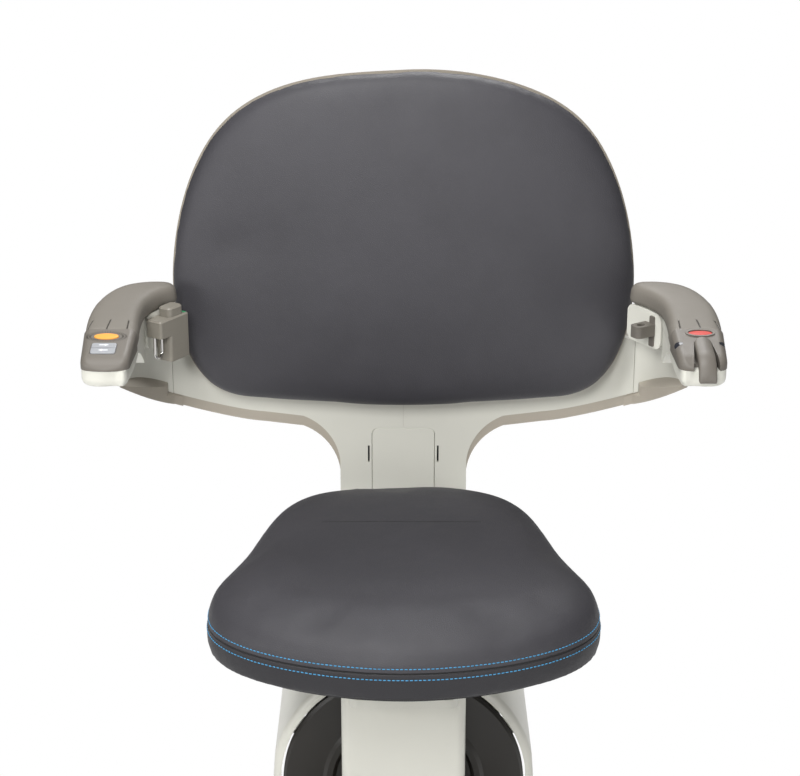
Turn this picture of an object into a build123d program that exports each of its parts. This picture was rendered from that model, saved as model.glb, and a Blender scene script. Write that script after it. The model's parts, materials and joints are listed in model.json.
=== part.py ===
from build123d import *
import math
import os

# Stairlift chair: levelling hub, column, footrest, swivel seat, backrest and folding armrests.
# Millimetres. X is the viewer's right, Y points back to the rail, Z is up.
# The origin is the levelling axis on the rear mounting plane. The sitter faces -Y.

os.makedirs("parts", exist_ok=True)

# ---------------------------------------------------------------- clearances
GAP = 0.3                # between solids that move past each other
RUN = 0.05               # radial running clearance of a pin or a shaft
WALL = 3.0               # moulded cover wall

# ---------------------------------------------------------------- base and hub
BASE_BACK = 0.0
PLATE_T = 10.0
PLATE_R = 112.0
BOLT_PCD = 180.0
BOLT_COUNT = 6
BOLT_HOLE_R = 5.5
SHELL_FRONT = -174.0
SHELL_TOP_R = 140.0      # arched top of the base shell
SHELL_FOOT_HALF = 150.0
SHELL_FOOT_Z = -150.0
SHELL_WALL = 4.0
DISC_R = 128.0
DISC_FRONT = -180.0
DISC_T = 14.0
DISC_RING_R = 82.0
DISC_GAP = 2.5           # ring gap between the disc and the base shell
SHAFT_R = 20.0
BEARING_WALL = 11.0
BEARING_R = SHAFT_R + BEARING_WALL
BEARING_W = 16.0
HOUSING_WALL = 11.0
HOUSING_R = BEARING_R + HOUSING_WALL
HOUSING_FRONT = -150.0
FLANGE_REACH = 22.0      # flange of the hub housing
FLANGE_R = HOUSING_R + FLANGE_REACH
FLANGE_T = 8.0
HUB_BOLT_OUT = 11.0      # from the housing to the bolts of its flange
HUB_BOLT_PCD = 2 * (HOUSING_R + HUB_BOLT_OUT)
HUB_BOLT_COUNT = 6
HUB_BOLT_R = 4.0

# ---------------------------------------------------------------- column
PANEL_HALF = 64.0
PANEL_FRONT = -226.0
PANEL_BACK = -184.0
PANEL_TOP = 128.0
PANEL_FOOT = -124.0
FRAME_HALF = 44.0
FRAME_FRONT = -220.5
FRAME_BACK = -184.0
FRAME_WALL = 5.0
TOP_PLATE_Z = 144.0      # upper face of the plate that carries the swivel
TOP_PLATE_T = 10.0
SWIVEL_Y = -202.5
SWIVEL_R = 45.0
RING_T = 5.7
KINGPIN_R = 12.0
KINGPIN_FOOT = 14.0      # its end below the top plate
CARRIER_BOLT_R = 3.0     # four bolts hold the carrier on the upper swivel ring
CARRIER_BOLT_PCD = 66.0

# ---------------------------------------------------------------- footrest
FOOT_PIVOT_Y = -240.0
FOOT_PIVOT_Z = -141.0
FOOT_PIN_R = 5.0
EAR_R = 9.0              # rounding of the footrest ears about the pin
FOOT_HALF = 140.0
FOOT_DEPTH = 215.0
FOOT_T = 16.0
TREAD_T = 3.0

# ---------------------------------------------------------------- seat
CARRIER_Z = TOP_PLATE_Z + 2 * RING_T + GAP
CARRIER_T = 13.0
CARRIER_HALF = 58.0
CARRIER_FRONT = -262.0
SEAT_PIVOT_Y = -125.0
SEAT_PIVOT_Z = 222.0
SEAT_PIN_R = 6.0
SEAT_LUG_R = 9.5
SEAT_LUG_X = 46.0
SEAT_LUG_T = 8.0
PAN_Z = 232.0
PAN_T = 10.0
SEAT_BASE_Z = PAN_Z + PAN_T + 0.5
SEAT_SEAM_Z = 271.7
SEAT_TOP_Z = 309.0
SEAT_MID_Y = -255.0

# ---------------------------------------------------------------- spine, wings and horns
SPINE_FRONT = -18.0
SPINE_HALF = 68.6
SPINE_FOOT = CARRIER_Z + CARRIER_T + 4.0
SPINE_DEPTH = 34.0       # front face to the back of the rear shell
COVER_DEPTH = 8.0
WING_TOP = 452.0
WING_STRAIGHT = 175.0    # half width of the flat middle of the wings
WING_R = 111.2           # the wings curve forward on this radius
WING_END = 51.6          # polar angle of the seam between wing and horn, from the wing's centre
HORN_X = 203.4           # centre of the horn's concave wall
HORN_Y = -115.2
HORN_R = 83.7
HORN_START = 61.0        # polar angles of the horn's two ends
HORN_END = 2.0
HORN_T = 3.8
SEAM_FOOT = 393.0        # lowest point of the ivory edge at the seam
HORN_STEP = 6.5          # the horn's edge starts this much higher
STEP_OUT = 5.0           # and this far beyond the seam
TIP_Z = 431.0            # lowest point of the ivory edge at the horn's tip
LIP = 11.5               # rear shell reaches this far below the ivory wings
LIP_SETBACK = 1.2        # and its lip stands this far behind their front
FOOT_LIP = 3.7           # and this far below the ivory spine
BRACKET_HALF = 26.0      # half width of the backrest bracket's neck
BRACKET_WIDE = 50.0      # half width of its upper plate
HIP_Z = 306.0            # the spine's straight sides end here
OUTER_X = 303.0          # outer face of the rear shell at the arm post
DOOR_HALF = 34.0
DOOR_TOP = 343.0
DOOR_T = 5.0
FRAME_T = 8.0
FRAME_Y = -2.0           # front face of the steel spine frame

# ---------------------------------------------------------------- backrest
LEAN = 8.0
RIM_Y = -23.5
RIM_Z = 545.0
RIM_T = 2.0
SHELL_DEPTH = 15.0
PAD_EDGE = 21.0          # height of the cushion's rolled edge over the rim
PAD_CROWN = 46.0

# ---------------------------------------------------------------- armrests
ARM_X = 280.0            # centre of the control pod
ARM_TOP = 526.0
ARM_BASE = 505.0         # underside of the pad
ARM_PIVOT_Y = -94.0
ARM_PIVOT_Z = 492.0
ARM_PIN_R = 5.0
ARM_BARREL_R = 11.0
POST_X = 292.0           # centre of the arm bracket's post
POST_T = 11.0
BAR_T = 7.0              # the bar inside the wing
BRACKET_BAR_Z = 439.2
BRACKET_BAR_H = 7.0
POST_DEPTH = 20.0
STEM_X = 294.3           # the post is slimmer where it passes the horn
STEM_T = 6.4
LUG_T = 8.0
POD_BACK = -230.0
POD_FRONT = -292.0
POD_OUTER = 303.5        # the pod's two sides where it meets the pad
POD_INNER = 253.5
POD_LEAN = 10.5          # the pod's face falls forward
POD_ROUND = 6.5          # rounding of its long edges
UNDER_Z = 489.0          # lowest face of the ivory under-shell
UNDER_ROOT_Z = 458.0     # and where it is deeper, near the pivot
UNDER_BACK = -124.0
BAR_W = 15.0
BAR_H = 9.0
BAR_BACK = -112.0
BAR_FRONT = -226.0
BUTTON_WELL = 8.0
CALL_Y = -244.7
CALL_HALF_W = 11.6
CALL_HALF_L = 5.3
ROCKER_Y = -266.8
ROCKER_W = 23.4
ROCKER_L = 19.6
ROCKER_BARREL_R = 2.2
STOP_Y = -238.2
STOP_HALF_W = 11.4
STOP_HALF_L = 5.0
STICK_Y = -258.0         # upright axis of the joystick
STICK_HALF = 8.2
STICK_FAN = 12.6         # half width of the slot at the pod's front
STICK_NOSE = -302.0
STICK_T = 9.0

# ---------------------------------------------------------------- cheek plates and belt
CHEEK_X = 234.0          # rear lower corner of the cheek plate
CHEEK_Y = -84.0
CHEEK_ANGLE = 57.0
CHEEK_REAR = -7.0        # its ends along its own length
CHEEK_L = 46.0
CHEEK_T = 5.0
CHEEK_FOOT = 467.0
RECEIVER_S = 33.0        # distance of the receiver along the cheek
RECEIVER_Z = 481.0
HOOK_S = 40.0            # middle of the belt hook along the cheek
HOOK_HALF = 5.5
HOOK_DROP = 17.0         # straight part of its legs
HOOK_WIRE_R = 1.6
BLOCK_S0 = 2.0           # the belt handle's two ends along the cheek
BLOCK_S1 = CHEEK_L + 1
BLOCK_T = 20.0
BLOCK_Z = 455.0
BLOCK_TOP = 501.0
BLOCK_STEP = 483.0       # underside of its overhanging head
CAP_S = 19.0


def front_plane(y):
    """Plane facing the sitter at depth y: sketch x is X, sketch y is Z, extrude goes to -Y."""
    return Plane.XZ.offset(-y)


def side_plane(x):
    """Plane facing +X at x: sketch x is Y, sketch y is Z."""
    return Plane.YZ.offset(x)


def finish(piece, name):
    piece.part.label = name
    export_step(piece.part, f"parts/{name}.step")
    print(name, len(piece.part.solids()), round(piece.part.volume / 1000, 2), "cm3")


def mirrored(piece, name):
    """The opposite hand of a piece."""
    with BuildPart() as other:
        mirror(piece.part, about=Plane.YZ)
    finish(other, name)
    return other


def both_hands(piece, name):
    finish(piece, name + "_right")
    return mirrored(piece, name + "_left")


# ================================================================ base
with BuildPart() as mount_plate:
    with BuildSketch(front_plane(BASE_BACK)):
        Circle(PLATE_R)
        Circle(HOUSING_R - 8, mode=Mode.SUBTRACT)
        with PolarLocations(BOLT_PCD / 2, BOLT_COUNT, start_angle=30):
            Circle(BOLT_HOLE_R, mode=Mode.SUBTRACT)
        with PolarLocations(HUB_BOLT_PCD / 2, HUB_BOLT_COUNT):
            Circle(HUB_BOLT_R, mode=Mode.SUBTRACT)
    extrude(amount=PLATE_T)
    chamfer(mount_plate.edges().filter_by(GeomType.CIRCLE).sort_by(SortBy.RADIUS)[-1], 1.5)
finish(mount_plate, "mount_plate")


def shell_outline(inset):
    """Bell outline of the base shell: arched top, sides spreading to a broad rounded foot."""
    shoulder = math.radians(12)
    radius = SHELL_TOP_R - inset
    shoulder_x = radius * math.cos(shoulder)
    shoulder_z = radius * math.sin(shoulder)
    foot_x = SHELL_FOOT_HALF - inset
    foot_z = SHELL_FOOT_Z + inset
    with BuildSketch(front_plane(0), mode=Mode.PRIVATE) as outline:
        with BuildLine():
            arch = ThreePointArc((-shoulder_x, shoulder_z), (0, radius), (shoulder_x, shoulder_z))
            right = Line(arch @ 1, (foot_x, foot_z))
            Line(right @ 1, (-foot_x, foot_z))
            Line((-foot_x, foot_z), arch @ 0)
        make_face()
        fillet(outline.vertices().group_by(Axis.Z)[0], 34 - inset)
    return outline.sketch


with BuildPart() as base_shell:
    with BuildSketch(front_plane(-PLATE_T - 1)):
        add(shell_outline(0))
    extrude(amount=-SHELL_FRONT - PLATE_T - 1)
    fillet(base_shell.faces().sort_by(Axis.Y)[0].outer_wire().edges(), 9)
    with BuildSketch(front_plane(-PLATE_T - 1)):
        add(shell_outline(SHELL_WALL))
    extrude(amount=-SHELL_FRONT - PLATE_T - 1 - SHELL_WALL, mode=Mode.SUBTRACT)
    with BuildSketch(front_plane(SHELL_FRONT + 2 * SHELL_WALL)):
        Circle(DISC_R + DISC_GAP)
    extrude(amount=4 * SHELL_WALL, mode=Mode.SUBTRACT)
    # four ribs carry the shell on the hub housing
    side_reach = SHELL_TOP_R - SHELL_WALL + 1
    foot_reach = -SHELL_FOOT_Z - SHELL_WALL + 1
    with BuildSketch(front_plane(-40)):
        for angle, reach in ((0, side_reach), (90, side_reach), (180, side_reach), (270, foot_reach)):
            with Locations(Location((0, 0, 0), (0, 0, angle))):
                with Locations(((HOUSING_R + reach) / 2, 0)):
                    Rectangle(reach - HOUSING_R, SHELL_WALL)
    extrude(amount=30)
finish(base_shell, "base_shell")

with BuildPart() as hub_housing:
    with BuildSketch(side_plane(0)):
        with BuildLine():
            Polyline(
                (-PLATE_T, SHAFT_R + 6), (-PLATE_T, FLANGE_R), (-PLATE_T - FLANGE_T, FLANGE_R),
                (-PLATE_T - FLANGE_T, HOUSING_R + 2), (-PLATE_T - FLANGE_T - 2, HOUSING_R),
                (HOUSING_FRONT, HOUSING_R), (HOUSING_FRONT, BEARING_R),
                (HOUSING_FRONT + BEARING_W, BEARING_R), (HOUSING_FRONT + BEARING_W, SHAFT_R + 6),
                (-PLATE_T - BEARING_W - 8, SHAFT_R + 6), (-PLATE_T - BEARING_W - 8, BEARING_R),
                (-PLATE_T - 8, BEARING_R), (-PLATE_T - 8, SHAFT_R + 6), close=True)
        make_face()
    revolve(axis=Axis.Y)
    with BuildSketch(front_plane(-PLATE_T)):
        with PolarLocations(HUB_BOLT_PCD / 2, HUB_BOLT_COUNT):
            Circle(HUB_BOLT_R)
    extrude(amount=FLANGE_T, mode=Mode.SUBTRACT)
finish(hub_housing, "hub_housing")

with BuildPart() as hub_bolts:
    # hexagon bolts that hold the housing's flange on the mount plate
    with BuildSketch(front_plane(BASE_BACK - 2)):
        with PolarLocations(HUB_BOLT_PCD / 2, HUB_BOLT_COUNT):
            Circle(HUB_BOLT_R)
    extrude(amount=PLATE_T + FLANGE_T - 2)
    with BuildSketch(front_plane(-PLATE_T - FLANGE_T)):
        with PolarLocations(HUB_BOLT_PCD / 2, HUB_BOLT_COUNT):
            RegularPolygon(HUB_BOLT_R * 1.85, 6)
    extrude(amount=HUB_BOLT_R * 1.3)
finish(hub_bolts, "hub_bolts")


def bearing(front, name):
    """Plain hub bearing: outer race in the housing, bore running on the shaft."""
    with BuildPart() as ring:
        with BuildSketch(front_plane(front + BEARING_W)):
            Circle(BEARING_R)
            Circle(SHAFT_R + RUN, mode=Mode.SUBTRACT)
        extrude(amount=BEARING_W)
        with BuildSketch(front_plane(front + 2)):
            Circle(BEARING_R - 3)
            Circle(SHAFT_R + 4, mode=Mode.SUBTRACT)
        extrude(amount=2, mode=Mode.SUBTRACT)
    finish(ring, name)
    return ring


bearing(HOUSING_FRONT, "hub_bearing_front")
bearing(-PLATE_T - BEARING_W - 8, "hub_bearing_rear")

# ================================================================ column
with BuildPart() as hub_disc:
    with BuildSketch(side_plane(0)):
        with BuildLine():
            Polyline(
                (DISC_FRONT + DISC_T, SHAFT_R + 0.5), (DISC_FRONT + DISC_T, DISC_R - 2),
                (DISC_FRONT + DISC_T - 2, DISC_R), (DISC_FRONT + 6, DISC_R),
                (DISC_FRONT + 3, DISC_R - 3), (DISC_FRONT + 3, DISC_RING_R + 4),
                (DISC_FRONT, DISC_RING_R), (DISC_FRONT, DISC_RING_R - 6),
                (DISC_FRONT + 4, DISC_RING_R - 10), (DISC_FRONT + 4, SHAFT_R + 0.5), close=True)
        make_face()
    revolve(axis=Axis.Y)
finish(hub_disc, "hub_disc")

with BuildPart() as hub_shaft:
    with BuildSketch(front_plane(-PLATE_T - 4)):
        Circle(SHAFT_R)
    extrude(amount=-FRAME_BACK - PLATE_T - 4)
    with BuildSketch(front_plane(DISC_FRONT + DISC_T + 4)):
        Circle(SHAFT_R + 10)
    extrude(amount=4)
    with BuildSketch(front_plane(-PLATE_T - 4)):
        Circle(SHAFT_R - 7)
    extrude(amount=120, mode=Mode.SUBTRACT)
finish(hub_shaft, "hub_shaft")

with BuildPart() as column_frame:
    with BuildSketch(Plane.XY.offset(PANEL_FOOT)):
        with Locations((0, (FRAME_FRONT + FRAME_BACK) / 2)):
            Rectangle(2 * FRAME_HALF, FRAME_BACK - FRAME_FRONT)
            Rectangle(2 * (FRAME_HALF - FRAME_WALL), FRAME_BACK - FRAME_FRONT - 2 * FRAME_WALL,
                      mode=Mode.SUBTRACT)
    extrude(amount=TOP_PLATE_Z - TOP_PLATE_T - PANEL_FOOT)
    with BuildSketch(Plane.XY.offset(TOP_PLATE_Z - TOP_PLATE_T)):
        with Locations((0, SWIVEL_Y - 17)):
            RectangleRounded(2 * SWIVEL_R + 20, 78, 10)
    extrude(amount=TOP_PLATE_T)
    # the kingpin's bore also clears the walls under the top plate
    with BuildSketch(Plane.XY.offset(TOP_PLATE_Z)):
        with Locations((0, SWIVEL_Y)):
            Circle(KINGPIN_R + RUN)
    extrude(amount=-TOP_PLATE_T - KINGPIN_FOOT - GAP, mode=Mode.SUBTRACT)
    with BuildSketch(side_plane(-FRAME_HALF)):
        for z in (60, -60):
            with Locations((FRAME_BACK - 15, z)):
                Circle(6)
    extrude(amount=2 * FRAME_HALF, mode=Mode.SUBTRACT)
finish(column_frame, "column_frame")


def panel_profile(inset):
    """Plan section of the front panel: a flat front with rounded corners and two sides."""
    half = PANEL_HALF - inset
    front = PANEL_FRONT + inset
    with BuildSketch(mode=Mode.PRIVATE) as profile:
        with BuildLine():
            Polyline((-half, PANEL_BACK), (-half, front), (half, front), (half, PANEL_BACK), close=True)
        make_face()
        fillet(profile.vertices().group_by(Axis.Y)[0], 10 - inset)
    return profile.sketch


with BuildPart() as front_panel:
    with BuildSketch(Plane.XY.offset(PANEL_FOOT)):
        add(panel_profile(0))
        add(panel_profile(WALL), mode=Mode.SUBTRACT)
        with Locations((0, PANEL_BACK)):
            Rectangle(2 * PANEL_HALF - 2 * WALL, 2 * WALL, mode=Mode.SUBTRACT)
    extrude(amount=PANEL_TOP - PANEL_FOOT)
    # two inner webs clip the panel on the frame
    with BuildSketch(Plane.XY.offset(-20)):
        for side in (-1, 1):
            with Locations((side * (FRAME_HALF + PANEL_HALF) / 2, FRAME_FRONT + 12)):
                Rectangle(PANEL_HALF - FRAME_HALF, WALL)
    extrude(amount=60)
finish(front_panel, "front_panel")


def swivel_ring(z, name, bore):
    with BuildPart() as ring:
        with BuildSketch(Plane.XY.offset(z)):
            with Locations((0, SWIVEL_Y)):
                Circle(SWIVEL_R)
                Circle(bore, mode=Mode.SUBTRACT)
                with PolarLocations(CARRIER_BOLT_PCD / 2, 4, start_angle=45):
                    Circle(CARRIER_BOLT_R, mode=Mode.SUBTRACT)
        extrude(amount=RING_T)
        chamfer(ring.edges().filter_by(GeomType.CIRCLE).sort_by(SortBy.RADIUS)[-2:], 0.8)
    finish(ring, name)
    return ring


swivel_ring(TOP_PLATE_Z, "swivel_bearing_lower", KINGPIN_R + RUN)
swivel_ring(TOP_PLATE_Z + RING_T + GAP, "swivel_bearing_upper", KINGPIN_R)

with BuildPart() as footrest_bracket:
    # plate under the column, two ears that hold the footrest pin
    with BuildSketch(Plane.XY.offset(PANEL_FOOT - 6)):
        with Locations((0, (PANEL_FRONT + PANEL_BACK) / 2)):
            Rectangle(2 * FRAME_HALF + 10, PANEL_BACK - PANEL_FRONT)
    extrude(amount=6)
    for x in (-50, 40):
        with BuildSketch(side_plane(x)):
            with BuildLine():
                ear = Line((PANEL_BACK - 4, PANEL_FOOT - 6), (FOOT_PIVOT_Y - 1, PANEL_FOOT - 6))
                brow = ThreePointArc(ear @ 1, (FOOT_PIVOT_Y - 7, FOOT_PIVOT_Z + 6.5),
                                     (FOOT_PIVOT_Y - EAR_R, FOOT_PIVOT_Z))
                nose = ThreePointArc(brow @ 1, (FOOT_PIVOT_Y, FOOT_PIVOT_Z - EAR_R),
                                     (FOOT_PIVOT_Y + EAR_R, FOOT_PIVOT_Z))
                Polyline(nose @ 1, (PANEL_BACK - 4, PANEL_FOOT - 16), ear @ 0)
            make_face()
            with Locations((FOOT_PIVOT_Y, FOOT_PIVOT_Z)):
                Circle(FOOT_PIN_R, mode=Mode.SUBTRACT)
        extrude(amount=10)
finish(footrest_bracket, "footrest_bracket")

with BuildPart() as footrest_pin:
    with BuildSketch(side_plane(-54)):
        with Locations((FOOT_PIVOT_Y, FOOT_PIVOT_Z)):
            Circle(FOOT_PIN_R)
    extrude(amount=108)
finish(footrest_pin, "footrest_pin")

# ================================================================ footrest
FOOT_TOP = FOOT_PIVOT_Z + FOOT_T / 2


def foot_outline(inset, rear):
    """Plan of the footrest: straight hinge edge, sides spreading to a bowed front."""
    half = FOOT_HALF - inset
    front = FOOT_PIVOT_Y - FOOT_DEPTH + inset
    with BuildSketch(mode=Mode.PRIVATE) as outline:
        with BuildLine():
            back = Line((-half + 22, rear), (half - 22, rear))
            right = Line(back @ 1, (half, front + 45))
            ThreePointArc((-half, front + 45), (0, front), (half, front + 45))
            Line((-half, front + 45), back @ 0)
            right @ 0
        make_face()
        fillet(outline.vertices(), 16)
    return outline.sketch


with BuildPart() as footrest_plate:
    with BuildSketch(Plane.XY.offset(FOOT_TOP - FOOT_T)):
        add(foot_outline(0, FOOT_PIVOT_Y - 12))
    extrude(amount=FOOT_T)
    fillet(footrest_plate.faces().sort_by(Axis.Z)[-1].outer_wire().edges(), 4)
    # recess for the tread and a hollow underside with ribs
    with BuildSketch(Plane.XY.offset(FOOT_TOP - 2)):
        add(foot_outline(14, FOOT_PIVOT_Y - 26))
    extrude(amount=2, mode=Mode.SUBTRACT)
    with BuildSketch(Plane.XY.offset(FOOT_TOP - FOOT_T)):
        add(foot_outline(5, FOOT_PIVOT_Y - 17))
        with GridLocations(44, 0, 6, 1):
            with Locations((0, FOOT_PIVOT_Y - FOOT_DEPTH / 2)):
                Rectangle(3, FOOT_DEPTH, mode=Mode.SUBTRACT)
    extrude(amount=FOOT_T - 6, mode=Mode.SUBTRACT)
    # knuckle on the hinge pin
    with BuildSketch(side_plane(-39.5)):
        with Locations((FOOT_PIVOT_Y, FOOT_PIVOT_Z)):
            Circle(8)
        with Locations((FOOT_PIVOT_Y - 9, FOOT_PIVOT_Z - 3)):
            Rectangle(18, 10)
        with Locations((FOOT_PIVOT_Y, FOOT_PIVOT_Z)):
            Circle(FOOT_PIN_R + RUN, mode=Mode.SUBTRACT)
    extrude(amount=79)
finish(footrest_plate, "footrest_plate")

with BuildPart() as footrest_tread:
    with BuildSketch(Plane.XY.offset(FOOT_TOP - 2)):
        add(foot_outline(14.3, FOOT_PIVOT_Y - 26.3))
    extrude(amount=TREAD_T)
    with BuildSketch(Plane.XY.offset(FOOT_TOP - 2 + TREAD_T - 1)):
        with Locations((0, FOOT_PIVOT_Y - FOOT_DEPTH / 2 - 8)):
            with GridLocations(0, 14, 1, 10):
                Rectangle(200, 4)
    extrude(amount=1, mode=Mode.SUBTRACT)
finish(footrest_tread, "footrest_tread")

# ================================================================ chair: swivel and seat carrier
with BuildPart() as kingpin:
    with BuildSketch(Plane.XY.offset(TOP_PLATE_Z - TOP_PLATE_T - KINGPIN_FOOT)):
        with Locations((0, SWIVEL_Y)):
            Circle(KINGPIN_R)
    extrude(amount=CARRIER_Z + 6 - (TOP_PLATE_Z - TOP_PLATE_T - KINGPIN_FOOT))
    with BuildSketch(Plane.XY.offset(TOP_PLATE_Z - TOP_PLATE_T - 8)):
        with Locations((0, SWIVEL_Y)):
            Circle(KINGPIN_R + 1)
            Circle(KINGPIN_R - 2.5, mode=Mode.SUBTRACT)
    extrude(amount=3, mode=Mode.SUBTRACT)
finish(kingpin, "kingpin")

with BuildPart() as seat_carrier:
    with BuildSketch(Plane.XY.offset(CARRIER_Z)):
        with Locations((0, (CARRIER_FRONT + FRAME_Y) / 2)):
            RectangleRounded(2 * CARRIER_HALF, FRAME_Y - CARRIER_FRONT, 12)
        with Locations((0, SWIVEL_Y)):
            Circle(KINGPIN_R, mode=Mode.SUBTRACT)
            with PolarLocations(CARRIER_BOLT_PCD / 2, 4, start_angle=45):
                Circle(CARRIER_BOLT_R, mode=Mode.SUBTRACT)
        with Locations((0, (SEAT_PIVOT_Y + FRAME_Y) / 2)):
            RectangleRounded(CARRIER_HALF, CARRIER_HALF, 12, mode=Mode.SUBTRACT)
    extrude(amount=CARRIER_T)
finish(seat_carrier, "seat_carrier")

with BuildPart() as carrier_bolts:
    with BuildSketch(Plane.XY.offset(CARRIER_Z - RING_T + 1)):
        with Locations((0, SWIVEL_Y)):
            with PolarLocations(CARRIER_BOLT_PCD / 2, 4, start_angle=45):
                Circle(CARRIER_BOLT_R)
    extrude(amount=CARRIER_T + RING_T - 1)
    with BuildSketch(Plane.XY.offset(CARRIER_Z + CARRIER_T)):
        with Locations((0, SWIVEL_Y)):
            with PolarLocations(CARRIER_BOLT_PCD / 2, 4, start_angle=45):
                RegularPolygon(CARRIER_BOLT_R * 1.85, 6)
    extrude(amount=CARRIER_BOLT_R * 1.3)
finish(carrier_bolts, "carrier_bolts")

with BuildPart() as seat_lugs:
    # two ears on the carrier, each with a foot flange, hold the seat's hinge pin
    for side in (-1, 1):
        with BuildSketch(side_plane(side * SEAT_LUG_X - SEAT_LUG_T / 2)):
            with BuildLine():
                foot = Line((SEAT_PIVOT_Y - 44, CARRIER_Z + CARRIER_T), (SEAT_PIVOT_Y + 5, CARRIER_Z + CARRIER_T))
                rear = Line(foot @ 1, (SEAT_PIVOT_Y + SEAT_LUG_R, SEAT_PIVOT_Z))
                crown = ThreePointArc(rear @ 1, (SEAT_PIVOT_Y, SEAT_PIVOT_Z + SEAT_LUG_R),
                                      (SEAT_PIVOT_Y - SEAT_LUG_R, SEAT_PIVOT_Z))
                Line(crown @ 1, foot @ 0)
            make_face()
            with Locations((SEAT_PIVOT_Y, SEAT_PIVOT_Z)):
                Circle(SEAT_PIN_R + RUN, mode=Mode.SUBTRACT)
        extrude(amount=SEAT_LUG_T)
        with BuildSketch(Plane.XY.offset(CARRIER_Z + CARRIER_T)):
            with Locations((side * (SEAT_LUG_X - 8), SEAT_PIVOT_Y - 20)):
                Rectangle(16, 48)
        extrude(amount=4)
finish(seat_lugs, "seat_lugs")

with BuildPart() as seat_stops:
    # two rubber buffers on stalks take the front of the seat pan
    for side in (-1, 1):
        with BuildSketch(Plane.XY.offset(CARRIER_Z + CARRIER_T)):
            with Locations((side * 38, CARRIER_FRONT + 20)):
                Circle(9)
        extrude(amount=PAN_Z - CARRIER_Z - CARRIER_T - GAP, taper=3)
finish(seat_stops, "seat_stops")


# ================================================================ chair: spine, wings and horns
def polar(x, y, radius, angle):
    """Point at an angle on a circle about (x, y)."""
    return (x + radius * math.cos(math.radians(angle)), y + radius * math.sin(math.radians(angle)))


WING_CENTRE_Y = SPINE_FRONT - WING_R


def wing_point(depth, angle):
    return polar(WING_STRAIGHT, WING_CENTRE_Y, WING_R + depth, angle)


def horn_point(depth, angle):
    return polar(HORN_X, HORN_Y, HORN_R + depth, angle)


def cover_plan(front, back, centre, end_angle):
    """Plan band of a wing cover, between two depths behind the front face."""
    middle = (90 + end_angle) / 2
    with BuildSketch(mode=Mode.PRIVATE) as plan:
        with BuildLine():
            Line((centre, SPINE_FRONT + front), wing_point(front, 90))
            ThreePointArc(wing_point(front, 90), wing_point(front, middle), wing_point(front, end_angle))
            Line(wing_point(front, end_angle), wing_point(back, end_angle))
            ThreePointArc(wing_point(back, end_angle), wing_point(back, middle), wing_point(back, 90))
            Line(wing_point(back, 90), (centre, SPINE_FRONT + back))
            Line((centre, SPINE_FRONT + back), (centre, SPINE_FRONT + front))
        make_face()
    return plan.sketch


def spine_outline(drop, centre, wing_end, end_z, top):
    """Front view of half a spine with its wing; drop lowers the wing's lower edge."""
    with BuildSketch(front_plane(0), mode=Mode.PRIVATE) as outline:
        with BuildLine():
            Polyline((centre, top), (centre, SPINE_FOOT), (SPINE_HALF, SPINE_FOOT), (SPINE_HALF, HIP_Z - drop))
            hip = ThreePointArc((SPINE_HALF, HIP_Z - drop), (79.5, 335 - drop), (108, 357.6 - drop))
            level = Line(hip @ 1, (150, 362.8 - drop))
            edge = ThreePointArc(level @ 1, (205, 374.4 - drop), (wing_end, end_z - drop))
            Polyline(edge @ 1, (wing_end, top), (centre, top))
        make_face()
    return outline.sketch


SEAM_X = wing_point(0, WING_END)[0]
SEAM_ANGLE = WING_END - 0.2       # the horn starts a hair beyond the wing
DEPTH_SPAN = 200          # long enough to cut right through any wing
Z_SPAN = 320

with BuildPart() as spine_cover:
    with BuildSketch(Plane.XY.offset(SPINE_FOOT - 5)):
        add(cover_plan(0, COVER_DEPTH, 0.1, WING_END + 0.1))
    extrude(amount=Z_SPAN)
    with BuildSketch(front_plane(60)):
        add(spine_outline(0, 0.1, SEAM_X + 20, SEAM_FOOT + 13.4, WING_TOP))
    extrude(amount=DEPTH_SPAN, mode=Mode.INTERSECT)
    # hollow behind a front wall and a rim
    with BuildPart(mode=Mode.PRIVATE) as hollow:
        with BuildSketch(Plane.XY.offset(SPINE_FOOT - 5)):
            add(cover_plan(WALL, COVER_DEPTH + 5, WALL, WING_END + 2))
        extrude(amount=Z_SPAN)
        with BuildSketch(front_plane(60)):
            add(spine_outline(0, 0.1, SEAM_X + 20, SEAM_FOOT + 13.4, WING_TOP))
            offset(amount=-WALL, mode=Mode.REPLACE)
        extrude(amount=DEPTH_SPAN, mode=Mode.INTERSECT)
    add(hollow.part, mode=Mode.SUBTRACT)
    # opening for the door panel, its side slots, and the notch for the backrest bracket
    with BuildSketch(front_plane(0)):
        with Locations((0, DOOR_TOP - 64)):
            RectangleRounded(2 * DOOR_HALF + 2 * GAP, 128 + 2 * GAP, 7)
        with Locations((DOOR_HALF + 3.5, 313.5)):
            Rectangle(2, 19)
        with Locations((0, WING_TOP)):
            Rectangle(112, 94)
    extrude(amount=60, mode=Mode.SUBTRACT)
both_hands(spine_cover, "spine_cover")

with BuildPart() as spine_door:
    with BuildSketch(front_plane(SPINE_FRONT + 0.6 + DOOR_T)):
        with Locations((0, DOOR_TOP - 64)):
            RectangleRounded(2 * DOOR_HALF, 128, 7)
    extrude(amount=DOOR_T)
    fillet(spine_door.faces().sort_by(Axis.Y)[0].outer_wire().edges(), 1.2)
finish(spine_door, "spine_door")

TIP_X = HORN_X + HORN_R + HORN_T + 1


def horn_edge(x):
    """Height of the horn's straight lower edge, from the seam to the tip."""
    start = SEAM_FOOT + HORN_STEP
    return start + (TIP_Z - start) * (x - SEAM_X + 5) / (TIP_X - SEAM_X + 5)


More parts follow.
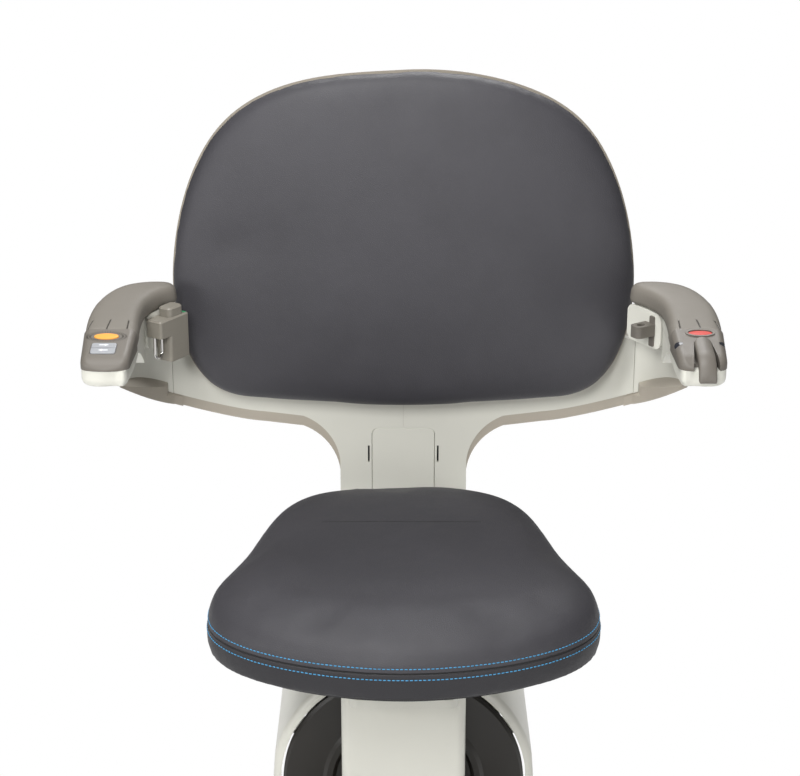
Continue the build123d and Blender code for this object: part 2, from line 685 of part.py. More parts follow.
with BuildPart() as horn:
    with BuildSketch(Plane.XY.offset(SEAM_FOOT - 20)):
        with BuildLine():
            middle = (HORN_START + HORN_END) / 2
            inner = ThreePointArc(wing_point(0, SEAM_ANGLE), horn_point(0, middle), horn_point(0, HORN_END))
            outer = ThreePointArc(horn_point(HORN_T, HORN_END), horn_point(HORN_T, middle),
                                  wing_point(HORN_T, SEAM_ANGLE))
            Line(inner @ 1, outer @ 0)
            Line(outer @ 1, inner @ 0)
        make_face()
    extrude(amount=90)
    with BuildSketch(front_plane(60)):
        with BuildLine():
            shoulder = Line((SEAM_X - 5, WING_TOP), (SEAM_X + 22, WING_TOP))
            fall = ThreePointArc(shoulder @ 1, (TIP_X - 9, WING_TOP - 7), (TIP_X, TIP_Z + 4))
            Polyline(fall @ 1, (TIP_X, TIP_Z), (SEAM_X + STEP_OUT, horn_edge(SEAM_X + STEP_OUT)),
                     (SEAM_X + STEP_OUT, SEAM_FOOT + 2), (SEAM_X - 5, SEAM_FOOT - 3), shoulder @ 0)
        step_face = make_face()
        fillet(step_face.vertices().filter_by(lambda corner: abs(corner.X - SEAM_X - STEP_OUT) < 0.1), 1.8)
    extrude(amount=DEPTH_SPAN, mode=Mode.INTERSECT)
both_hands(horn, "horn_cover")


def shell_plan(wall):
    """Plan of half the rear shell. With a wall it is the hollow, open to the front."""
    back = SPINE_FRONT + SPINE_DEPTH - wall
    outer = OUTER_X - wall
    depth = COVER_DEPTH + GAP
    with BuildSketch(mode=Mode.PRIVATE) as plan:
        with BuildLine():
            if wall:
                front = Polyline((0, -60), (238, -60), (262, -108.5), (outer, -108.5), (outer, -80))
                start = front @ 1
            else:
                middle = (90 + WING_END) / 2
                Line((0, SPINE_FRONT + depth), wing_point(depth, 90))
                ThreePointArc(wing_point(depth, 90), wing_point(depth, middle), wing_point(depth, WING_END))
                Line(wing_point(depth, WING_END), wing_point(HORN_T + GAP, SEAM_ANGLE))
                ThreePointArc(wing_point(HORN_T + GAP, SEAM_ANGLE), horn_point(HORN_T + GAP, 30),
                              horn_point(HORN_T + GAP, HORN_END))
                front = Polyline(horn_point(HORN_T + GAP, HORN_END), (outer, -112), (outer, -80))
                start = front @ 1
            turn = TangentArc(start, (190, back), tangent=(0, 1))
            Line(turn @ 1, (0, back))
            Line((0, back), (0, -60 if wall else SPINE_FRONT + depth))
        make_face()
    return plan.sketch


def shell_outline_front(inset):
    """Front view of half the rear shell: the cover's outline with a lower lip, out to the arm post."""
    with BuildSketch(front_plane(0), mode=Mode.PRIVATE) as outline:
        with BuildLine():
            foot = SPINE_FOOT - FOOT_LIP
            Polyline((0, WING_TOP), (0, foot), (SPINE_HALF, foot), (SPINE_HALF, HIP_Z - LIP))
            hip = ThreePointArc((SPINE_HALF, HIP_Z - LIP), (79.5, 335 - LIP), (108, 357.6 - LIP))
            level = Line(hip @ 1, (150, 362.8 - LIP))
            edge = ThreePointArc(level @ 1, (205, 374.4 - LIP), (SEAM_X, SEAM_FOOT - LIP))
            Polyline(edge @ 1, (HORN_X + HORN_R + 2, TIP_Z - 4), (OUTER_X + 2, TIP_Z + 7),
                     (OUTER_X + 2, WING_TOP - 4), (OUTER_X - 12, WING_TOP), (0, WING_TOP))
        make_face()
        if inset:
            offset(amount=-inset, mode=Mode.REPLACE)
            with Locations((inset / 2, (foot + WING_TOP) / 2)):
                Rectangle(inset * 1.2, WING_TOP - foot - 2 * inset)
    return outline.sketch


with BuildPart() as shell_half:
    with BuildSketch(Plane.XY.offset(SPINE_FOOT - LIP - 5)):
        add(shell_plan(0))
    extrude(amount=Z_SPAN)
    with BuildSketch(front_plane(60)):
        add(shell_outline_front(0))
    extrude(amount=DEPTH_SPAN, mode=Mode.INTERSECT)
    with BuildPart(mode=Mode.PRIVATE) as hollow:
        with BuildSketch(Plane.XY.offset(SPINE_FOOT - LIP - 5)):
            add(shell_plan(WALL))
        extrude(amount=Z_SPAN)
        with BuildSketch(front_plane(60)):
            add(shell_outline_front(WALL))
        extrude(amount=DEPTH_SPAN, mode=Mode.INTERSECT)
    add(hollow.part, mode=Mode.SUBTRACT)
    # lip under the wing cover, nearly flush with it
    with BuildPart(mode=Mode.PRIVATE) as lip:
        with BuildSketch(Plane.XY.offset(SPINE_FOOT - 5)):
            add(cover_plan(LIP_SETBACK, COVER_DEPTH + GAP + 1, 0, WING_END))
        extrude(amount=Z_SPAN)
        with BuildSketch(front_plane(60)):
            add(spine_outline(LIP, 0, SEAM_X + 20, SEAM_FOOT + 13.4, WING_TOP))
            add(spine_outline(GAP, -1, SEAM_X + 21, SEAM_FOOT + 14, WING_TOP + 1), mode=Mode.SUBTRACT)
        extrude(amount=DEPTH_SPAN, mode=Mode.INTERSECT)
    add(lip.part)
    # floor in the corner of the horn
    with BuildPart(mode=Mode.PRIVATE) as floor:
        with BuildSketch(Plane.XY.offset(SEAM_FOOT - 30)):
            with BuildLine():
                brow = ThreePointArc((243.2, -42.6), (262, -80), (289, -119))
                Polyline(brow @ 1, (300, -110), (252, -36), (235, -36), brow @ 0)
            make_face()
        extrude(amount=80)
        with BuildSketch(front_plane(60)):
            with BuildLine():
                step_x = SEAM_X + STEP_OUT + GAP
                Polyline((SEAM_X - 9, SEAM_FOOT - LIP - 6), (SEAM_X, SEAM_FOOT - LIP - 0.5),
                         (HORN_X + HORN_R + 2, TIP_Z - 4), (TIP_X, TIP_Z - GAP),
                         (step_x, horn_edge(step_x) - GAP), (step_x, SEAM_FOOT + 1.4),
                         (SEAM_X - 9, SEAM_FOOT - 7), close=True)
            make_face()
        extrude(amount=DEPTH_SPAN, mode=Mode.INTERSECT)
    add(floor.part)
    # slot in the top wall for the arm post, notch for the backrest bracket, open foot for the spine frame
    with BuildSketch(Plane.XY.offset(TIP_Z)):
        with Locations((STEM_X, ARM_PIVOT_Y)):
            Rectangle(STEM_T + 1, POST_DEPTH + 1)
        with Locations((0, SPINE_FRONT)):
            Rectangle(2 * BRACKET_HALF + 2, SPINE_DEPTH)
    extrude(amount=60, mode=Mode.SUBTRACT)
    with BuildSketch(Plane.XY.offset(SPINE_FOOT - LIP)):
        with Locations((0, FRAME_Y)):
            Rectangle(2 * SPINE_HALF - 4 * WALL, SPINE_DEPTH - 2 * WALL)
    extrude(amount=LIP + WALL, mode=Mode.SUBTRACT)

with BuildPart() as rear_shell:
    add(shell_half.part)
    mirror(shell_half.part, about=Plane.YZ)
finish(rear_shell, "rear_shell")

with BuildPart() as spine_frame:
    with BuildSketch(front_plane(FRAME_Y + FRAME_T)):
        with Locations((0, (CARRIER_Z + WING_TOP - 4) / 2)):
            Rectangle(100, WING_TOP - 4 - CARRIER_Z)
        with Locations((0, 245), (0, 345)):
            RectangleRounded(60, 70, 12, mode=Mode.SUBTRACT)
    extrude(amount=FRAME_T)
finish(spine_frame, "spine_frame")

with BuildPart() as arm_bracket:
    # bent bar inside the wing, post up through the rear shell, barrel for the arm's pin
    bar_y = FRAME_Y - BAR_T / 2
    with BuildSketch(Plane.XY.offset(BRACKET_BAR_Z)):
        with BuildLine(mode=Mode.PRIVATE) as path:
            straight = Line((BRACKET_HALF + 2, bar_y), (180, bar_y))
            sweep_out = TangentArc(straight @ 1, (265, -39), tangent=straight % 1)
            TangentArc(sweep_out @ 1, (STEM_X + 0.6, ARM_PIVOT_Y), tangent=sweep_out % 1)
        trace(path.edges(), line_width=BAR_T)
    extrude(amount=BRACKET_BAR_H)
    with BuildSketch(Plane.XY.offset(BRACKET_BAR_Z)):
        with Locations((STEM_X, ARM_PIVOT_Y)):
            RectangleRounded(STEM_T, POST_DEPTH, 2)
    extrude(amount=WING_TOP + 3 - BRACKET_BAR_Z)
    with BuildSketch(Plane.XY.offset(WING_TOP + 3)):
        with Locations((POST_X, ARM_PIVOT_Y)):
            RectangleRounded(POST_T, POST_DEPTH, 3)
    extrude(amount=ARM_PIVOT_Z - WING_TOP - 3)
    with BuildSketch(side_plane(POST_X - POST_T / 2)):
        with Locations((ARM_PIVOT_Y, ARM_PIVOT_Z)):
            Circle(ARM_BARREL_R)
    extrude(amount=POST_T)
    with BuildSketch(side_plane(POST_X - POST_T / 2)):
        with Locations((ARM_PIVOT_Y, ARM_PIVOT_Z)):
            Circle(ARM_PIN_R + RUN)
    extrude(amount=POST_T, mode=Mode.SUBTRACT)
both_hands(arm_bracket, "arm_bracket")

# ================================================================ chair: backrest
back_slope = math.tan(math.radians(LEAN))
BACK_PLANE = Plane(origin=(0, RIM_Y, RIM_Z), x_dir=(1, 0, 0),
                   z_dir=(0, -math.cos(math.radians(LEAN)), math.sin(math.radians(LEAN))))
# half outline of the backrest in its own plane: a broad arch over rounded lower corners
BACK_CROWN_V = 186.0
BACK_FOOT_V = -165.5
BACK_OUTLINE = [(117, BACK_CROWN_V - 14), (184, BACK_CROWN_V - 51), (222, BACK_CROWN_V - 112),
                (239, 5), (241.6, -32), (236, -82), (221.5, BACK_FOOT_V + 45.5),
                (196, BACK_FOOT_V + 18.5), (140, BACK_FOOT_V + 7.5)]


def back_outline(inset, depth, shrink=0.0):
    """Backrest outline drawn in by an inset, then by a share, at a height over the rim plane."""
    middle = (BACK_CROWN_V + BACK_FOOT_V) / 2
    kx = (1 - inset / 241.6) * (1 - shrink)
    kv = (1 - inset / (BACK_CROWN_V - middle)) * (1 - shrink)
    right = [(x * kx, middle + (v - middle) * kv) for x, v in BACK_OUTLINE]
    left = [(-x, v) for x, v in reversed(right)]
    crown = (0, middle + (BACK_CROWN_V - middle) * kv)
    foot = (0, middle + (BACK_FOOT_V - middle) * kv)
    with BuildSketch(BACK_PLANE.offset(depth), mode=Mode.PRIVATE) as outline:
        with BuildLine():
            Spline(*([crown] + right + [foot] + left), periodic=True)
        make_face()
    return outline.sketch


with BuildPart() as backrest_shell:
    for inset, depth in ((0, 0), (0, -RIM_T)):
        add(back_outline(inset, depth))
    loft()
    for inset, depth in ((0, -RIM_T), (16, -RIM_T - 7), (60, -SHELL_DEPTH)):
        add(back_outline(inset, depth))
    loft()
    with BuildPart(mode=Mode.PRIVATE) as dish:
        for inset, depth in ((5, 1), (6, -RIM_T), (22, -RIM_T - 4), (66, -SHELL_DEPTH + WALL)):
            add(back_outline(inset, depth))
        loft()
    add(dish.part, mode=Mode.SUBTRACT)
finish(backrest_shell, "backrest_shell")

with BuildPart() as backrest_cushion:
    for inset, depth in ((2, GAP), (0.4, 9), (4, PAD_EDGE)):
        add(back_outline(inset, depth))
    # the crown rises from the rolled edge, steeply at first, to a nearly flat middle
    for shrink in (0.035, 0.12, 0.26, 0.42, 0.6, 0.8):
        rise = math.sin(math.pi / 2 * shrink / 0.8) ** 0.5
        add(back_outline(4, PAD_EDGE + (PAD_CROWN - PAD_EDGE) * rise, shrink))
    loft()
finish(backrest_cushion, "backrest_cushion")


def shell_back(z):
    """Depth of the backrest shell's rear face at a height."""
    return RIM_Y + (z - RIM_Z) * back_slope + SHELL_DEPTH / math.cos(math.radians(LEAN))


with BuildPart() as backrest_bracket:
    with BuildSketch(side_plane(-BRACKET_WIDE)):
        with BuildLine():
            Polyline((FRAME_Y, 410), (FRAME_Y, 442), (shell_back(474) + 5, 474),
                     (shell_back(600) + 5, 600), (shell_back(600), 600), (shell_back(474), 474),
                     (FRAME_Y - 5, 440), (FRAME_Y - 5, 410), close=True)
        make_face()
    extrude(amount=2 * BRACKET_WIDE)
    # narrow neck below, window above
    with BuildSketch(front_plane(60)):
        with Locations((0, 530)):
            RectangleRounded(BRACKET_WIDE, 70, 10)
        for side in (-1, 1):
            with Locations((side * (BRACKET_HALF + BRACKET_WIDE) / 2, 400)):
                Rectangle(BRACKET_WIDE - BRACKET_HALF, 2 * (WING_TOP + 8 - 400))
    extrude(amount=DEPTH_SPAN, mode=Mode.SUBTRACT)
finish(backrest_bracket, "backrest_bracket")

# ================================================================ seat
# half outline of the seat at its side seam: narrow round rear, drawn-in waist, broad front
SEAT_OUTLINE = [(68, -77), (110, -98), (143, -155), (163, -237), (180, -290), (186.5, -325),
                (180, -361), (152, -396), (90, -428)]
SEAT_REAR_Y = -67.7
SEAT_NOSE_Y = -443.0


def seat_outline(z, side, rear, front):
    """Seat outline on a level plane at z, drawn in by its own amount at the side, rear and front."""
    kx = 1 - side / 186.5

    def place(x, y):
        drawn_in = rear if y > SEAT_MID_Y else front
        return (x * kx, SEAT_MID_Y + (y - SEAT_MID_Y) * (1 - drawn_in / 187.5))

    right = [place(x, y) for x, y in SEAT_OUTLINE]
    left = [(-x, y) for x, y in reversed(right)]
    with BuildSketch(Plane.XY.offset(z), mode=Mode.PRIVATE) as outline:
        with BuildLine():
            Spline(*([place(0, SEAT_REAR_Y)] + right + [place(0, SEAT_NOSE_Y)] + left), periodic=True)
        make_face()
    return outline.sketch


with BuildPart() as seat_cushion:
    # crisp lower edge and rear crest, softer sides, long waterfall at the front
    add(seat_outline(SEAT_BASE_Z, 4, 4, 4))
    add(seat_outline(SEAT_BASE_Z + 4, 0.8, 0.8, 0.8))
    for rise in (0, 30, 60, 82):
        drawn_in = 1 - math.cos(math.radians(rise))
        height = SEAT_SEAM_Z + (SEAT_TOP_Z - 1.5 - SEAT_SEAM_Z) * math.sin(math.radians(rise))
        add(seat_outline(height, 26 * drawn_in, 8 * drawn_in, 62 * drawn_in))
    add(seat_outline(SEAT_TOP_Z, 62, 45, 100))
    loft()
finish(seat_cushion, "seat_cushion")

with BuildPart() as seat_pan:
    add(seat_outline(PAN_Z, 20, 16, 24))
    extrude(amount=PAN_T)
    # two long stiffening hollows in the underside
    with BuildSketch(Plane.XY.offset(PAN_Z)):
        for side in (-1, 1):
            with Locations((side * 95, -265)):
                RectangleRounded(60, 170, 12)
        with Locations((0, -330)):
            RectangleRounded(70, 60, 12)
    extrude(amount=PAN_T - WALL, mode=Mode.SUBTRACT)
finish(seat_pan, "seat_pan")

with BuildPart() as seat_brackets:
    # two angle brackets under the pan, outside the ears of the carrier
    for side in (-1, 1):
        x = side * (SEAT_LUG_X + SEAT_LUG_T + 1)
        with BuildSketch(side_plane(x - SEAT_LUG_T / 2)):
            with BuildLine():
                top = Line((SEAT_PIVOT_Y + SEAT_LUG_R, PAN_Z), (SEAT_PIVOT_Y - 90, PAN_Z))
                Polyline(top @ 1, (SEAT_PIVOT_Y - 90, PAN_Z - 6), (SEAT_PIVOT_Y - SEAT_LUG_R, SEAT_PIVOT_Z - 4))
                nose = ThreePointArc((SEAT_PIVOT_Y - SEAT_LUG_R, SEAT_PIVOT_Z - 4),
                                     (SEAT_PIVOT_Y - 2, SEAT_PIVOT_Z - 10.5),
                                     (SEAT_PIVOT_Y + SEAT_LUG_R, SEAT_PIVOT_Z))
                Line(nose @ 1, top @ 0)
            make_face()
            with Locations((SEAT_PIVOT_Y, SEAT_PIVOT_Z)):
                Circle(SEAT_PIN_R, mode=Mode.SUBTRACT)
        extrude(amount=SEAT_LUG_T)
finish(seat_brackets, "seat_brackets")

with BuildPart() as seat_pin:
    pin_half = SEAT_LUG_X + 1.5 * SEAT_LUG_T + 5
    with BuildSketch(side_plane(-pin_half)):
        with Locations((SEAT_PIVOT_Y, SEAT_PIVOT_Z)):
            Circle(SEAT_PIN_R)
    extrude(amount=2 * pin_half)
finish(seat_pin, "seat_hinge_pin")

# ================================================================ armrests (right hand, mirrored for the left)
def arm_outline():
    """Plan of the armrest: two long curves that bend inwards to a round rear end."""
    with BuildSketch(mode=Mode.PRIVATE) as outline:
        with BuildLine():
            outside = Spline((249, -64), (289, -80), (304, -118), (308.5, -170), (POD_OUTER, POD_BACK))
            inside = Spline((POD_INNER, POD_BACK), (257.5, -170), (252, -116), (233, -86))
            ThreePointArc(inside @ 1, (234, -70), outside @ 0)
            Line(outside @ 1, inside @ 0)
        make_face()
    return outline.sketch


def pod_outline():
    """Plan of the control pod, a short tongue with a slightly bowed front."""
    with BuildSketch(mode=Mode.PRIVATE) as outline:
        with BuildLine():
            nose = ThreePointArc((POD_OUTER - 4, POD_FRONT + 5), (ARM_X - 2, POD_FRONT), (POD_INNER + 1, POD_FRONT + 5))
            Polyline(nose @ 1, (POD_INNER, POD_BACK), (POD_OUTER, POD_BACK), nose @ 0)
        make_face()
        fillet(outline.vertices().group_by(Axis.Y)[0], 11)
    return outline.sketch


with BuildPart() as armrest_pad:
    with BuildSketch(Plane.XY.offset(ARM_BASE)):
        add(arm_outline())
    extrude(amount=ARM_TOP - ARM_BASE)
    fillet(armrest_pad.faces().sort_by(Axis.Z)[-1].edges().filter_by(
        lambda edge: abs(edge.center().Y - POD_BACK) > 2), 8)
finish(armrest_pad, "armrest_pad_right")
mirrored(armrest_pad, "armrest_pad_left")


def under_outline(inset, z):
    """Plan of the ivory under-shell, from behind the pivot to the pod's bowed nose."""
    with BuildSketch(Plane.XY.offset(z), mode=Mode.PRIVATE) as outline:
        with BuildLine():
            outer = Spline((302.5 - inset, UNDER_BACK), (307 - inset, -170), (POD_OUTER - 0.7 - inset, POD_BACK),
                           (POD_OUTER - 3.5 - inset, -276))
            front = POD_FRONT + 1 + inset
            nose = Spline(outer @ 1, (POD_OUTER - 13, front + 1.5), (ARM_X - 2, front), (POD_INNER + 12, front + 1.5),
                          (POD_INNER + 2.2 + inset, -276), tangents=(outer % 1, (-0.05, 1)))
            inner = Spline(nose @ 1, (POD_INNER + 1.5 + inset, POD_BACK), (259 + inset, -170),
                           (260 + inset, UNDER_BACK), tangents=((-0.05, 1), (0, 1)))
            Line(inner @ 1, outer @ 0)
        make_face()
    return outline.sketch


with BuildPart() as under_shell:
    # ivory tray under the pad and the pod, with a channel for the steel bar
    add(under_outline(0, UNDER_Z + 6))
    extrude(amount=ARM_BASE - UNDER_Z - 6)
    for inset, drop in ((0, 0), (1, 3.5), (4.5, 6)):
        add(under_outline(inset, UNDER_Z + 6 - drop))
    loft()
    # deeper root towards the pivot
    with BuildPart(mode=Mode.PRIVATE) as root:
        add(under_outline(1, UNDER_ROOT_Z - 1))
        extrude(amount=UNDER_Z + 7 - UNDER_ROOT_Z)
        with BuildSketch(side_plane(ARM_X - 40)):
            with BuildLine():
                keel = ThreePointArc((-212, UNDER_Z + 3), (-160, UNDER_Z - 12), (UNDER_BACK - 8, UNDER_ROOT_Z))
                Polyline(keel @ 1, (UNDER_BACK, UNDER_ROOT_Z), (UNDER_BACK, UNDER_Z + 6), (-212, UNDER_Z + 6), keel @ 0)
            make_face()
        extrude(amount=80, mode=Mode.INTERSECT)
    add(root.part)
    with BuildSketch(Plane.XY.offset(ARM_BASE - BAR_H - 1)):
        with Locations((ARM_X, -165)):
            Rectangle(BAR_W + 1, 128)
    extrude(amount=BAR_H + 1, mode=Mode.SUBTRACT)
both_hands(under_shell, "arm_under_shell")

POD_ANGLE = math.radians(POD_LEAN)


def pod_top(y):
    """Height of the pod's sloping face."""
    return ARM_TOP + (y - POD_BACK) * math.tan(POD_ANGLE)


POD_FACE = Plane(origin=(ARM_X, POD_BACK, ARM_TOP), x_dir=(1, 0, 0),
                 z_dir=(0, -math.sin(POD_ANGLE), math.cos(POD_ANGLE)))


def on_face(y):
    """Distance down the pod's sloping face for a depth y."""
    return (y - POD_BACK) / math.cos(POD_ANGLE)


def pod_body():
    """Pod with its sloping face and rolled nose, without its wells."""
    with BuildPart(mode=Mode.PRIVATE) as body:
        with BuildSketch(Plane.XY.offset(ARM_BASE)):
            add(pod_outline())
        extrude(amount=40)
        with BuildSketch(side_plane(ARM_X - 40)):
            with BuildLine():
                slope = Line((POD_BACK - GAP, ARM_TOP), (-276, pod_top(-276)))
                roll = ThreePointArc(slope @ 1, (-287, pod_top(-276) - 5), (POD_FRONT - 1, ARM_BASE))
                Polyline(roll @ 1, (POD_BACK - GAP, ARM_BASE), slope @ 0)
            make_face()
        extrude(amount=80, mode=Mode.INTERSECT)
        crest = body.faces().sort_by(Axis.Z)[-1].edges().filter_by(lambda edge: edge.center().Y < POD_BACK - 3)
        fillet(crest.filter_by(lambda edge: abs(edge.center().X - ARM_X) > 15), POD_ROUND)
    return body.part


with BuildPart() as pod_right:
    add(pod_body())
    # raised rim and well of the stop button
    with BuildSketch(POD_FACE.offset(-1)):
        with Locations((0, on_face(STOP_Y))):
            Ellipse(STOP_HALF_W + 2.6, STOP_HALF_L + 2.2)
    extrude(amount=2.2)
    with BuildSketch(POD_FACE.offset(-BUTTON_WELL)):
        with Locations((0, on_face(STOP_Y))):
            Ellipse(STOP_HALF_W + GAP, STOP_HALF_L + GAP)
    extrude(amount=BUTTON_WELL + 4, mode=Mode.SUBTRACT)
    # fan-shaped slot of the joystick
    with BuildPart(mode=Mode.PRIVATE) as slot:
        with BuildSketch(Plane.XY.offset(ARM_BASE - 1)):
            with Locations((ARM_X, STICK_Y)):
                Circle(STICK_HALF + GAP)
            with BuildLine():
                Polyline((ARM_X - STICK_HALF - GAP, STICK_Y), (ARM_X - STICK_FAN, POD_FRONT - 2),
                         (ARM_X + STICK_FAN, POD_FRONT - 2), (ARM_X + STICK_HALF + GAP, STICK_Y), close=True)
            make_face()
        extrude(amount=40)
        with BuildSketch(side_plane(ARM_X - 40)):
            with BuildLine():
                Polyline((-235, pod_top(-235) - STICK_T), (-278, pod_top(-278) - STICK_T), (-280, ARM_BASE - 1),
                         (POD_FRONT - 4, ARM_BASE - 1), (POD_FRONT - 4, ARM_TOP + 5), (-235, ARM_TOP + 5),
                         close=True)
            make_face()
        extrude(amount=80, mode=Mode.INTERSECT)
    add(slot.part, mode=Mode.SUBTRACT)
finish(pod_right, "control_pod_right")

with BuildPart() as pod_left:
    add(pod_body())
    with BuildSketch(POD_FACE.offset(-BUTTON_WELL)):
        with Locations((0, on_face(CALL_Y))):
            Ellipse(CALL_HALF_W + GAP, CALL_HALF_L + GAP)
        with Locations((0, on_face(ROCKER_Y))):
            RectangleRounded(ROCKER_W + 2 * GAP, ROCKER_L + 1.6, 3)
    extrude(amount=BUTTON_WELL + 4, mode=Mode.SUBTRACT)
mirrored(pod_left, "control_pod_left")

with BuildPart() as call_button:
    with BuildSketch(POD_FACE.offset(-BUTTON_WELL + 2.5)):
        with Locations((0, on_face(CALL_Y))):
            Ellipse(CALL_HALF_W, CALL_HALF_L)
    extrude(amount=BUTTON_WELL - 2.5 + 1.2)
    fillet(call_button.faces().sort_by(Axis.Z)[-1].edges(), 0.9)
mirrored(call_button, "call_button")

ROCKER_AXIS_Z = pod_top(ROCKER_Y) - 4.6

with BuildPart() as rocker:
    with BuildSketch(POD_FACE.offset(-4)):
        with Locations((0, on_face(ROCKER_Y))):
            RectangleRounded(ROCKER_W, ROCKER_L, 2.6)
    extrude(amount=4.8)
    fillet(rocker.faces().sort_by(Axis.Z)[-1].edges(), 0.8)
    # round barrel that it tilts on
    with BuildSketch(side_plane(ARM_X - ROCKER_W / 2)):
        with Locations((ROCKER_Y, ROCKER_AXIS_Z)):
            Circle(ROCKER_BARREL_R)
    extrude(amount=ROCKER_W)
    # groove between the two halves
    with BuildSketch(POD_FACE.offset(0.2)):
        with Locations((0, on_face(ROCKER_Y))):
            Rectangle(ROCKER_W + 1, 0.9)
    extrude(amount=2, mode=Mode.SUBTRACT)
mirrored(rocker, "direction_rocker")

with BuildPart() as stop_button:
    with BuildSketch(POD_FACE.offset(-BUTTON_WELL + 2.5)):
        with Locations((0, on_face(STOP_Y))):
            Ellipse(STOP_HALF_W, STOP_HALF_L)
    extrude(amount=BUTTON_WELL - 2.5 + 0.4)
    fillet(stop_button.faces().sort_by(Axis.Z)[-1].edges(), 0.6)
finish(stop_button, "stop_button")

with BuildPart() as joystick:
    # paddle that lies in the pod's slot and rolls over its nose
    with BuildSketch(Plane.XY.offset(ARM_BASE - 12)):
        with Locations((ARM_X, STICK_Y)):
            Circle(STICK_HALF)
        with Locations((ARM_X, (STICK_Y + STICK_NOSE) / 2)):
            Rectangle(2 * STICK_HALF, STICK_Y - STICK_NOSE)
    extrude(amount=60)
    with BuildSketch(side_plane(ARM_X - 40)):
        with BuildLine():
            crest = Line((-244, pod_top(-244) + 1.5), (-278, pod_top(-278) + 2.2))
            brow = ThreePointArc(crest @ 1, (-296, 510), (STICK_NOSE, 496.5))
            under = Line(brow @ 1, (STICK_NOSE + 7, 496.5))
            rise = Line(under @ 1, (POD_FRONT - 1, ARM_BASE - 1))
            inside = ThreePointArc(rise @ 1, (-289.5, 507.2), (-281.5, pod_top(-278) - STICK_T + 1))
            Polyline(inside @ 1, (-244, pod_top(-244) - STICK_T + 1), crest @ 0)
        make_face()
    extrude(amount=80, mode=Mode.INTERSECT)
finish(joystick, "joystick")

with BuildPart() as arm_frame:
    # lug beside the post's barrel, neck and bar under the pad
    lug_x = POST_X - POST_T / 2 - 0.5 - LUG_T
    with BuildSketch(side_plane(lug_x)):
        with Locations((ARM_PIVOT_Y, ARM_PIVOT_Z)):
            Circle(ARM_BARREL_R)
        with BuildLine():
            Polyline((ARM_PIVOT_Y, ARM_BASE - 2), (BAR_BACK, ARM_BASE - GAP), (BAR_BACK - 6, ARM_BASE - GAP),
                     (BAR_BACK - 6, ARM_BASE - BAR_H - GAP), (BAR_BACK, ARM_BASE - BAR_H - GAP),
                     (ARM_PIVOT_Y - 4, ARM_PIVOT_Z - ARM_BARREL_R + 1), close=True)
        make_face()
        with Locations((ARM_PIVOT_Y, ARM_PIVOT_Z)):
            Circle(ARM_PIN_R, mode=Mode.SUBTRACT)
    extrude(amount=LUG_T)
    with BuildSketch(Plane.XY.offset(ARM_BASE - GAP - BAR_H)):
        with Locations((ARM_X, (BAR_BACK + BAR_FRONT) / 2)):
            Rectangle(BAR_W, BAR_BACK - BAR_FRONT)
    extrude(amount=BAR_H)
both_hands(arm_frame, "arm_frame")

with BuildPart() as arm_pin:
    with BuildSketch(side_plane(lug_x - 3)):
        with Locations((ARM_PIVOT_Y, ARM_PIVOT_Z)):
            Circle(ARM_PIN_R + 2.5)
    extrude(amount=3)
    with BuildSketch(side_plane(lug_x)):
        with Locations((ARM_PIVOT_Y, ARM_PIVOT_Z)):
            Circle(ARM_PIN_R)
    extrude(amount=LUG_T + 0.5 + POST_T + 1.5)
both_hands(arm_pin, "arm_hinge_pin")

# ================================================================ cheek plates and belt fittings
CHEEK_DIR = (math.cos(math.radians(CHEEK_ANGLE)), -math.sin(math.radians(CHEEK_ANGLE)), 0)
CHEEK_NORMAL = (-math.sin(math.radians(CHEEK_ANGLE)), -math.cos(math.radians(CHEEK_ANGLE)), 0)
# x runs forward along the cheek plate, y is up from its foot, z is inward towards the sitter
CHEEK_PLANE = Plane(origin=(CHEEK_X, CHEEK_Y, CHEEK_FOOT), x_dir=CHEEK_DIR, z_dir=CHEEK_NORMAL)
CHEEK_H = ARM_BASE - CHEEK_FOOT


def cheek_level(z):
    """Level plane at height z whose x runs along the cheek and whose y points outwards."""
    return Plane(origin=(CHEEK_X, CHEEK_Y, z), x_dir=CHEEK_DIR, z_dir=(0, 0, 1))


with BuildPart() as cheek:
    with BuildSketch(CHEEK_PLANE):
        with Locations(((CHEEK_REAR + CHEEK_L) / 2, CHEEK_H / 2)):
            cheek_face = Rectangle(CHEEK_L - CHEEK_REAR, CHEEK_H)
        fillet(cheek_face.vertices().sort_by(Axis.Z).group_by(Axis.Z)[0], 9)
    extrude(amount=-CHEEK_T)
both_hands(cheek, "cheek_plate")

with BuildPart() as receiver:
    # strip on the cheek and a level tongue with an upright oval hole
    with BuildSketch(CHEEK_PLANE):
        with Locations((RECEIVER_S, 18)):
            RectangleRounded(7, 32, 1.5)
    extrude(amount=1.6)
    with BuildSketch(cheek_level(RECEIVER_Z)):
        with Locations((RECEIVER_S - 3, -11.6)):
            tongue = RectangleRounded(15, 21, 5)
        with Locations((RECEIVER_S - 3, -3)):
            Rectangle(15, 5)
        with Locations((RECEIVER_S - 3, -13)):
            Ellipse(3.6, 4.8, mode=Mode.SUBTRACT)
    extrude(amount=12)
finish(receiver, "belt_receiver")

